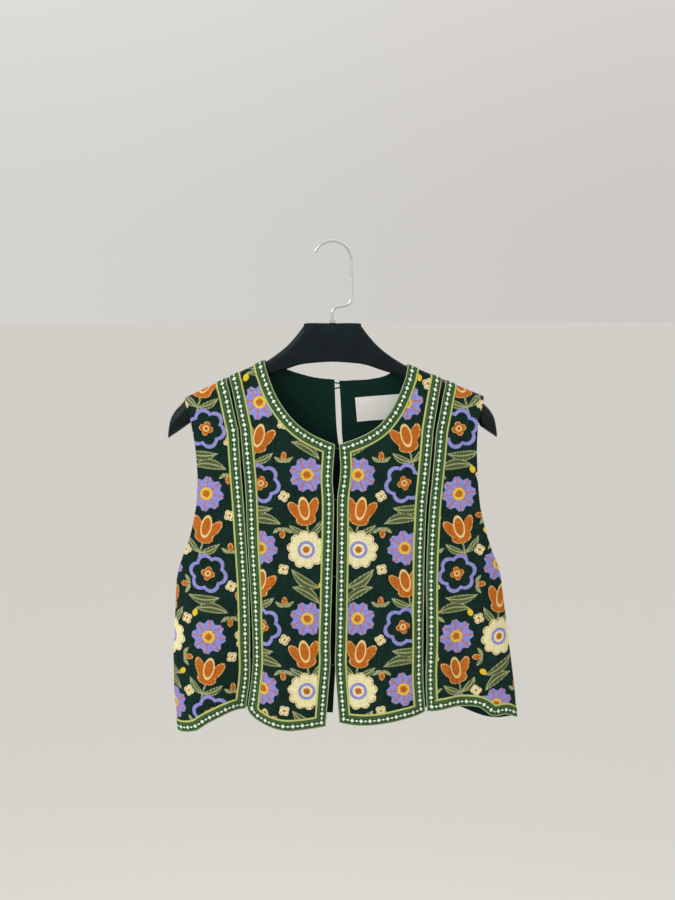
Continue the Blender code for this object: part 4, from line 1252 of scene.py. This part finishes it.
def lay_tape(name, edge, towards, face, cuts, from_ridge, cad_node):
    """A tape along an edge: rows across it, a closed profile, and slanting ends at the mitres."""
    to_side_seam = not from_ridge and cuts[1] == 0.0
    length = float(np.sum(np.linalg.norm(np.diff(edge, axis=0), axis=1)))
    fine = np.linspace(0.0, length, 700)[:, None]
    widths = np.linspace(0.0, TAPE_WIDTH, 9)[None, :]
    at, moved = fine + 0.0 * widths, widths + 0.0 * fine
    across = np.stack(edge_points(edge, at, moved, towards, from_ridge, to_side_seam), axis=-1)
    across = on_cloth(across[..., 0], across[..., 1], face)
    true_width = np.sum(np.linalg.norm(np.diff(across, axis=1), axis=2), axis=1)
    narrow = np.clip(TAPE_WIDTH / true_width, 0.55, 1.0)
    narrow = np.convolve(np.pad(narrow, 20, mode="edge"), np.ones(41) / 41.0, mode="valid")
    for cut, distance in ((cuts[0], fine[:, 0]), (cuts[1], length - fine[:, 0])):
        if cut > 0.0:
            narrow = 1.0 + (narrow - 1.0) * smooth(distance / MITRE_REACH)
    middle = np.linalg.norm(np.diff(across[:, 4], axis=0), axis=1)
    long_run = np.concatenate([[0.0], np.cumsum(middle)])
    count = int(long_run[-1] / TAPE_STEP)
    share = np.interp(np.linspace(0.0, long_run[-1], count + 1), long_run, fine[:, 0]) / length
    profile = np.array(TAPE_PROFILE)
    start = cuts[0] * profile[:, 0]
    end = length - cuts[1] * profile[:, 0]
    s = start[None, :] + (end - start)[None, :] * share[:, None]
    offset = profile[None, :, 0] * np.interp(s, fine[:, 0], narrow)
    spread_offset = offset + np.linspace(0.0, 2e-6, len(profile))[None, :]
    x, z = edge_points(edge, s, spread_offset, towards, from_ridge, to_side_seam)
    base = on_cloth(x, z, face)
    rings = base + grid_normals(base) * profile[None, :, 1:2]
    ends = (cuts[0] * DIAMOND_LINE, length - cuts[1] * DIAMOND_LINE)
    first, last = (float(np.interp(end, fine[:, 0], long_run)) for end in ends)
    whole = max(1, round((last - first) / DIAMOND_PITCH))
    along = (np.interp(s, fine[:, 0], long_run) - first) * whole * DIAMOND_PITCH / (last - first)
    from_edge = np.broadcast_to(profile[None, :, 0], s.shape)
    place = np.stack([along, from_edge, np.zeros_like(s)], axis=-1).reshape(-1, 3)
    made = ring_mesh(name, rings, attributes={"cut": place}, sharp=60.0)
    made.data.materials.append(tape_finish)
    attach(made, "root")
    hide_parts(cad_node)
    return made


def line_at(tree, across, place, half, beyond):
    """1 within half of a line along the tape, and 0 from beyond on."""
    return spread(tree, apart(tree, across, place), half, beyond, 1.0, 0.0)


def woven_tape():
    """The tape's colours by distance from its free edge, in millimetres.

    A diamond is where the distance along from its middle and the distance off the
    line, each over its own half length, add up to less than 1.
    """
    made, tree, shader = finish_named("woven_tape")
    along, across = cut_sockets(tree)
    along = times(tree, along, 1000.0)
    across = times(tree, across, 1000.0)
    pitch = 1000.0 * DIAMOND_PITCH
    turns = maths(tree, "FRACT", maths(tree, "ADD", maths(tree, "DIVIDE", along, pitch), 0.5))
    from_large = times(tree, apart(tree, turns, 0.5), pitch)
    from_small = maths(tree, "SUBTRACT", 0.5 * pitch, from_large)
    off_line = apart(tree, across, 1000.0 * DIAMOND_LINE)
    diamonds = []
    for away, half_long, half_wide, soft in (
        (from_large, 2.9, 2.9, (0.90, 1.08)),
        (from_small, 2.6, 1.5, (0.86, 1.14)),
    ):
        both = (maths(tree, "DIVIDE", away, half_long), maths(tree, "DIVIDE", off_line, half_wide))
        diamonds.append(spread(tree, maths(tree, "ADD", *both), *soft, 1.0, 0.0))
    diamond = maths(tree, "MAXIMUM", *diamonds)
    turn = 2.0 * math.pi / 1.15
    twist = maths(tree, "SINE", times(tree, maths(tree, "ADD", along, across), turn))
    counter = maths(tree, "SINE", times(tree, maths(tree, "SUBTRACT", along, across), turn))
    threads = maths(tree, "MAXIMUM", twist, counter)
    stitch = maths(tree, "SINE", times(tree, along, 2.0 * math.pi / 2.6))
    dashes = spread(tree, stitch, -0.3, 0.3)
    rows = (line_at(tree, across, 2.6, 0.30, 0.60), line_at(tree, across, 10.6, 0.30, 0.60))
    rows = maths(tree, "MAXIMUM", *rows)
    where = node(tree, "CombineXYZ", None, X=along, Y=across).outputs[0]
    cloudy = noise(tree, where, 0.9, 3.0)
    # Painted shade: the green and the lime are darker where the woven threads sink.
    green = mixed(tree, spread(tree, threads, -0.2, 0.9), TRIM_GREEN_PAINTED_SHADE, TRIM_GREEN)
    green = mixed(tree, times(tree, times(tree, rows, dashes), 0.55), green, TRIM_PALE)
    colour = mixed(tree, diamond, green, DIAMOND)
    between = times(tree, spread(tree, threads, 0.9, -0.2), 0.7)
    lime = mixed(tree, between, TRIM_LIME, TRIM_LIME_PAINTED_SHADE)
    colour = mixed(tree, times(tree, spread(tree, across, 10.9, 13.0), 0.65), colour, TRIM_OLIVE)
    colour = mixed(tree, spread(tree, across, 13.05, 13.30), colour, lime)
    # Painted shade: the cord is darker in the hollows between its twisted strands.
    cord = mixed(tree, spread(tree, twist, -0.6, 0.6), CORD_PAINTED_SHADE, CORD_PALE)
    colour = mixed(tree, spread(tree, across, 1.15, 1.40, 1.0, 0.0), colour, cord)
    # Painted shade in the two grooves, where the cord and the lime band meet the body of the tape.
    painted_groove_lines = (line_at(tree, across, 13.0, 0.12, 0.30), line_at(tree, across, 1.35, 0.12, 0.30))
    painted_groove_shade = maths(tree, "MAXIMUM", *painted_groove_lines)
    colour = mixed(tree, times(tree, painted_groove_shade, 0.75), colour, TRIM_GREEN_PAINTED_SHADE)
    worn = spread(tree, cloudy, 0.25, 0.75, 0.84, 1.12)
    shade = node(tree, "VectorMath", {"operation": "SCALE"}, Scale=worn)
    tree.links.new(colour, shade.inputs[0])
    tree.links.new(shade.outputs[0], shader.inputs["Base Color"])
    shader.inputs["Roughness"].default_value = 0.78
    shader.inputs["Specular IOR Level"].default_value = 0.16
    shader.inputs["Sheen Weight"].default_value = 0.03
    height = maths(tree, "ADD", times(tree, threads, 0.45), diamond)
    relief(tree, shader, height, 0.00018, 0.8)
    return made


def run_in(edge):
    """Direction of an edge at its start, over its first few millimetres."""
    return edge[6] - edge[0]


def run_out(edge):
    """Direction of an edge at its end, over its last few millimetres."""
    return edge[-1] - edge[-7]


tape_finish = woven_tape()
for side in ("left", "right"):
    grid = front_grids[f"centre_{side}"]
    towards = grid.reshape(-1, 2).mean(axis=0)
    corner = ROLL_ROWS - 1 + FRONT_ROWS[0]
    neck, centre, slit, hem = grid[: corner + 1, 0], grid[corner:, 0], grid[:, -1], grid[-1]
    at_neck = half_turn(run_out(neck), run_in(centre))
    at_front = half_turn(run_out(centre), run_in(hem))
    at_slit = half_turn(run_out(hem), -run_out(slit))
    [
        lay_tape(f"trim_{part}_{side}", edge, towards, "front", cuts, from_ridge, f"tape_{cad}_{side}")
        for part, edge, cuts, from_ridge, cad in (
            ("neck", neck, (0.0, at_neck), True, "neck"),
            ("front", centre, (at_neck, at_front), False, "centre"),
            ("slit_inner", slit, (0.0, at_slit), True, "slit_centre"),
            ("hem_inner", hem, (at_front, at_slit), False, "hem_centre"),
        )
    ]
    grid = front_grids[f"side_{side}"]
    towards = grid.reshape(-1, 2).mean(axis=0)
    slit, hem = grid[:, 0], grid[-1]
    at_slit = half_turn(run_out(slit), run_in(hem))
    [
        lay_tape(f"trim_{part}_{side}", edge, towards, "front", cuts, from_ridge, f"tape_{cad}_{side}")
        for part, edge, cuts, from_ridge, cad in (
            ("slit_outer", slit, (0.0, at_slit), True, "slit_side"),
            ("hem_outer", hem, (at_slit, 0.0), False, "hem_side"),
        )
    ]
    grid = back_grids[side]
    towards = grid.reshape(-1, 2).mean(axis=0)
    name, uncut, cad = f"trim_hem_back_{side}", (0.0, 0.0), f"tape_hem_back_{side}"
    lay_tape(name, grid[-1], towards, "back", uncut, False, cad)

# Thread bars.
# Short bars of dark green thread, whipped over a few strands, hold the edges of
# the front opening and of each slit a few millimetres apart.

BAR_HALF_THICK = 0.00065
BAR_BITE = 0.0006
BAR_TURNS = 9.0
CENTRE_BARS = (-0.2620, -0.3290, -0.4300, -0.5490)
SLIT_BARS = {"left": (-0.2500, -0.3200, -0.5450), "right": (-0.2500, -0.3700, -0.5520)}
THREAD = (0.0080, 0.0360, 0.0250, 1.0)
THREAD_PALE = (0.0200, 0.0700, 0.0480, 1.0)


def edge_at(grid, column, z):
    """Point of a front panel's edge at a height."""
    x = float(np.interp(z, grid[::-1, column, 1], grid[::-1, column, 0]))
    return on_cloth(np.array(x), np.array(z), "front")


def whipped_bar(name, first, second):
    """A straight thread bar whose thickness swings with each turn of the whipping."""
    share = np.linspace(0.0, 1.0, 28)
    first = first + np.array([-BAR_BITE, 0.5 * CLOTH_THICK, 0.0])
    second = second + np.array([BAR_BITE, 0.5 * CLOTH_THICK, 0.0])
    path = first[None, :] + (second - first)[None, :] * share[:, None]
    radius = BAR_HALF_THICK * (0.94 + 0.08 * np.cos(2.0 * math.pi * share * BAR_TURNS))
    made = ring_mesh(f"thread_{name}", tube(path, radius, (0.0, 1.0, 0.0), 10))
    made.data.materials.append(thread_finish)
    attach(made, "root")
    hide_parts(name)


thread_finish, tree, shader = finish_named("dark_green_thread")
place = node(tree, "TexCoord").outputs["Object"]
strands = noise(tree, place, 1800.0, 3.0)
colour = mixed(tree, spread(tree, strands, 0.35, 0.70), THREAD, THREAD_PALE)
tree.links.new(colour, shader.inputs["Base Color"])
shader.inputs["Roughness"].default_value = 0.7
shader.inputs["Sheen Weight"].default_value = 0.1
relief(tree, shader, strands, 0.0001, 0.8)
centre_left, centre_right = front_grids["centre_left"], front_grids["centre_right"]
side_left, side_right = front_grids["side_left"], front_grids["side_right"]
for number, z in enumerate(CENTRE_BARS, start=1):
    whipped_bar(f"bar_centre_{number}", edge_at(centre_left, 0, z), edge_at(centre_right, 0, z))
for number, z in enumerate(SLIT_BARS["left"], start=1):
    whipped_bar(f"bar_slit_left_{number}", edge_at(side_left, 0, z), edge_at(centre_left, -1, z))
for number, z in enumerate(SLIT_BARS["right"], start=1):
    whipped_bar(f"bar_slit_right_{number}", edge_at(centre_right, -1, z), edge_at(side_right, 0, z))

# Button and loop at the back neck.
# A small domed button of dark horn on the left back goes through a loop of round
# cord that is sewn to the edge of the right back.

BUTTON_PROFILE = (
    (0.0000, 0.0030),
    (0.0002, 0.0038),
    (0.0006, 0.0043),
    (0.0012, 0.0045),
    (0.0018, 0.0044),
    (0.0022, 0.0040),
    (0.0024, 0.0034),
    (0.0023, 0.0028),
    (0.0022, 0.0020),
    (0.0022, 0.0008),
)
LOOP_HALF_THICK = 0.0007
LOOP_FULLER = 1.35
LOOP_LIFT = 0.0028
LOOP_FOOT = 0.0022
BUTTON_HORN = (0.0100, 0.0150, 0.0130, 1.0)
BUTTON_HORN_PALE = (0.0340, 0.0460, 0.0380, 1.0)

button_low, button_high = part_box("neck_button")
button_turn = np.linspace(0.0, 2.0 * math.pi, 32, endpoint=False)
button_rise, button_radius = np.array(BUTTON_PROFILE).T
button_middle = 0.5 * (button_low + button_high)
button_middle.z += LOOP_LIFT
button_points = np.stack(
    [
        button_middle.x + button_radius[:, None] * np.cos(button_turn),
        button_low.y + np.repeat(button_rise[:, None], 32, axis=1),
        button_middle.z + button_radius[:, None] * np.sin(button_turn),
    ],
    axis=-1,
)
button = ring_mesh("button", button_points, sharp=50.0)
button_finish, tree, shader = finish_named("dark_horn")
place = node(tree, "TexCoord").outputs["Object"]
drawn = node(tree, "Mapping", None, Vector=place, Scale=(1.0, 1.0, 0.3)).outputs[0]
streaks = noise(tree, drawn, 700.0, 4.0)
colour = mixed(tree, spread(tree, streaks, 0.4, 0.7), BUTTON_HORN, BUTTON_HORN_PALE)
tree.links.new(colour, shader.inputs["Base Color"])
shader.inputs["Roughness"].default_value = 0.28
relief(tree, shader, streaks, 0.00003, 0.4)
button.data.materials.append(button_finish)
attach(button, "root")
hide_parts("neck_button")

loop_low, loop_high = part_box("neck_loop")
loop_reach = 0.5 * (loop_high.z - loop_low.z) - LOOP_HALF_THICK
loop_turn = np.radians(np.linspace(50.0, 310.0, 40))
loop_ring = loop_reach * np.stack([np.cos(loop_turn), np.sin(loop_turn)], axis=-1)
loop_ring += (button_middle.x, button_middle.z)
loop_foot_x = loop_high.x - LOOP_HALF_THICK
loop_feet = [(loop_foot_x, button_middle.z + up) for up in (LOOP_FOOT, -LOOP_FOOT)]
loop_route = np.vstack([loop_feet[:1], loop_ring[::4], loop_feet[1:]])
loop_route = np.insert(curve_through(loop_route, 6), 1, 0.5 * (loop_low.y + loop_high.y), axis=1)
loop_rings = tube(loop_route, LOOP_HALF_THICK * LOOP_FULLER, (0.0, 1.0, 0.0), 12)
loop = ring_mesh("neck_cord_loop", loop_rings)
loop.data.materials.append(thread_finish)
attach(loop, "root")
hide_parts("neck_loop")

# Label.
# A blank white woven satin label inside the right back. Its two ends are turned
# under, so they lie a little prouder, and they are sewn down to the backing.

LABEL_SIZE = (0.0600, 0.0325)
LABEL_THICK = 0.0006
LABEL_CORNER = (0.0297, -0.2000)
LABEL_TILT_DEG = 5.0
LABEL_CLEAR = 0.0005
LABEL_WHITE = (0.90, 0.89, 0.84, 1.0)
LABEL_SHADE = (0.78, 0.765, 0.71, 1.0)


def label_points(across, down, stand):
    """Points inside the right back: the cloth's own place, less its thickness and stand."""
    tilt = math.radians(LABEL_TILT_DEG)
    x = LABEL_CORNER[0] + across * math.cos(tilt) + down * math.sin(tilt)
    z = LABEL_CORNER[1] + across * math.sin(tilt) - down * math.cos(tilt)
    points = on_cloth(x, z, "back")
    points[..., 1] -= CLOTH_THICK * 1.06 + LABEL_CLEAR + stand
    return points


label_columns, label_rows = np.linspace(0.0, LABEL_SIZE[0], 61), np.linspace(0.0, LABEL_SIZE[1], 34)
label_across, label_down = np.meshgrid(label_columns, label_rows)
label_ends = np.minimum(label_across, LABEL_SIZE[0] - label_across)
label_fold = 0.00022 * (1.0 - smooth((label_ends - 0.0048) / 0.0006))
label_ripple = 0.00025 * np.sin(label_across / 0.0085) * np.sin(label_down / 0.0112 + 0.7)
label_front = label_points(label_across, label_down, LABEL_THICK + label_fold + label_ripple)
label_back = label_points(label_across, label_down, label_ripple)
label_cut = np.stack([label_across, label_down, np.zeros_like(label_down)], axis=-1)
label_fields = both_sides({"cut": label_cut.reshape(-1, 3)})
label = two_sided("blank_label", label_front, label_back, attributes=label_fields)
label_finish, tree, shader = finish_named("label_satin")
across, down = cut_sockets(tree)
threads, slub = weave(tree, across, down)
# Painted sheen: cloudy patches of the satin are lighter.
painted_sheen = noise(tree, node(tree, "CombineXYZ", None, X=across, Y=down).outputs[0], 90.0, 3.0)
colour = mixed(tree, spread(tree, slub, 0.80, 1.25), LABEL_SHADE, LABEL_WHITE)
colour = mixed(tree, spread(tree, painted_sheen, 0.3, 0.7, 0.75, 0.95), colour, LABEL_WHITE)
tree.links.new(colour, shader.inputs["Base Color"])
shader.inputs["Roughness"].default_value = 0.48
relief(tree, shader, threads, 0.00008, 0.6)
label.data.materials.append(label_finish)
label.data.materials.append(label_finish)
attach(label, "root")
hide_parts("label")

# Floor, light and camera.
# A plain pale floor far below the hung garment and a pale studio round it, a large
# soft light from the front and left, a weaker one from the right, and one behind.

FLOOR_Z = -2.60
CAMERA_PLACE = (0.0065, -1.40, -0.0955)
CAMERA_PITCH_DEG = 7.0
CAMERA_LENS = 43.08
FLOOR_REACH = 600.0
FLOOR_PALE = (0.83, 0.82, 0.80, 1.0)
STUDIO_LEFT = (0.700, 0.690, 0.665, 1.0)
STUDIO_RIGHT = (0.640, 0.618, 0.585, 1.0)

floor_span = np.linspace(-FLOOR_REACH, FLOOR_REACH, 13)
floor_x, floor_y = np.meshgrid(floor_span, floor_span)
floor_points = np.stack([floor_x, floor_y, np.full_like(floor_x, FLOOR_Z)], axis=-1).reshape(-1, 3)
floor_mesh = bpy.data.meshes.new("floor")
floor_mesh.from_pydata(floor_points.tolist(), [], cells_of(13, 13).tolist())
floor = bpy.data.objects.new("floor", floor_mesh)
bpy.context.scene.collection.objects.link(floor)
floor_finish, tree, shader = finish_named("pale_floor")
shader.inputs["Base Color"].default_value = FLOOR_PALE
shader.inputs["Roughness"].default_value = 0.9
floor_mesh.materials.append(floor_finish)

world = bpy.data.worlds.new("pale_studio")
world.use_nodes = True
tree = world.node_tree
look = node(tree, "SeparateXYZ", None, Vector=node(tree, "TexCoord").outputs["Generated"])
sky = mixed(tree, spread(tree, look.outputs[0], -0.34, 0.34), STUDIO_LEFT, STUDIO_RIGHT)
brighter = spread(tree, look.outputs[2], 0.05, 0.50, 0.94, 1.16)
tree.links.new(sky, tree.nodes["Background"].inputs["Color"])
tree.links.new(brighter, tree.nodes["Background"].inputs["Strength"])
bpy.context.scene.world = world


def soft_light(name, place, aim, size, power, colour=(1.0, 1.0, 1.0)):
    """A square soft light that faces a point."""
    data = bpy.data.lights.new(name, "AREA")
    data.size = size
    data.energy = power
    data.color = colour
    made = bpy.data.objects.new(name, data)
    made.location = place
    made.rotation_euler = (Vector(aim) - Vector(place)).to_track_quat("-Z", "Y").to_euler()
    bpy.context.scene.collection.objects.link(made)


soft_light("window_light", (-1.9, -1.6, 0.9), (0.0, 0.0, -0.42), 1.6, 40.0, (0.975, 0.99, 1.0))
soft_light("fill_light", (2.0, -1.7, 0.2), (0.0, 0.0, -0.42), 1.8, 7.0, (1.0, 0.97, 0.92))
soft_light("back_light", (0.3, 2.2, 0.8), (0.0, 0.0, -0.35), 1.6, 22.0)

camera_data = bpy.data.cameras.new("photo_camera")
camera_data.sensor_width = 36.0
camera_data.lens = CAMERA_LENS
camera_data.clip_end = 1500.0
camera = bpy.data.objects.new("photo_camera", camera_data)
camera.location = CAMERA_PLACE
camera.rotation_euler = (math.radians(90.0 - CAMERA_PITCH_DEG), 0.0, 0.0)
bpy.context.scene.collection.objects.link(camera)
bpy.context.scene.camera = camera
bpy.context.scene.view_settings.view_transform = "Standard"
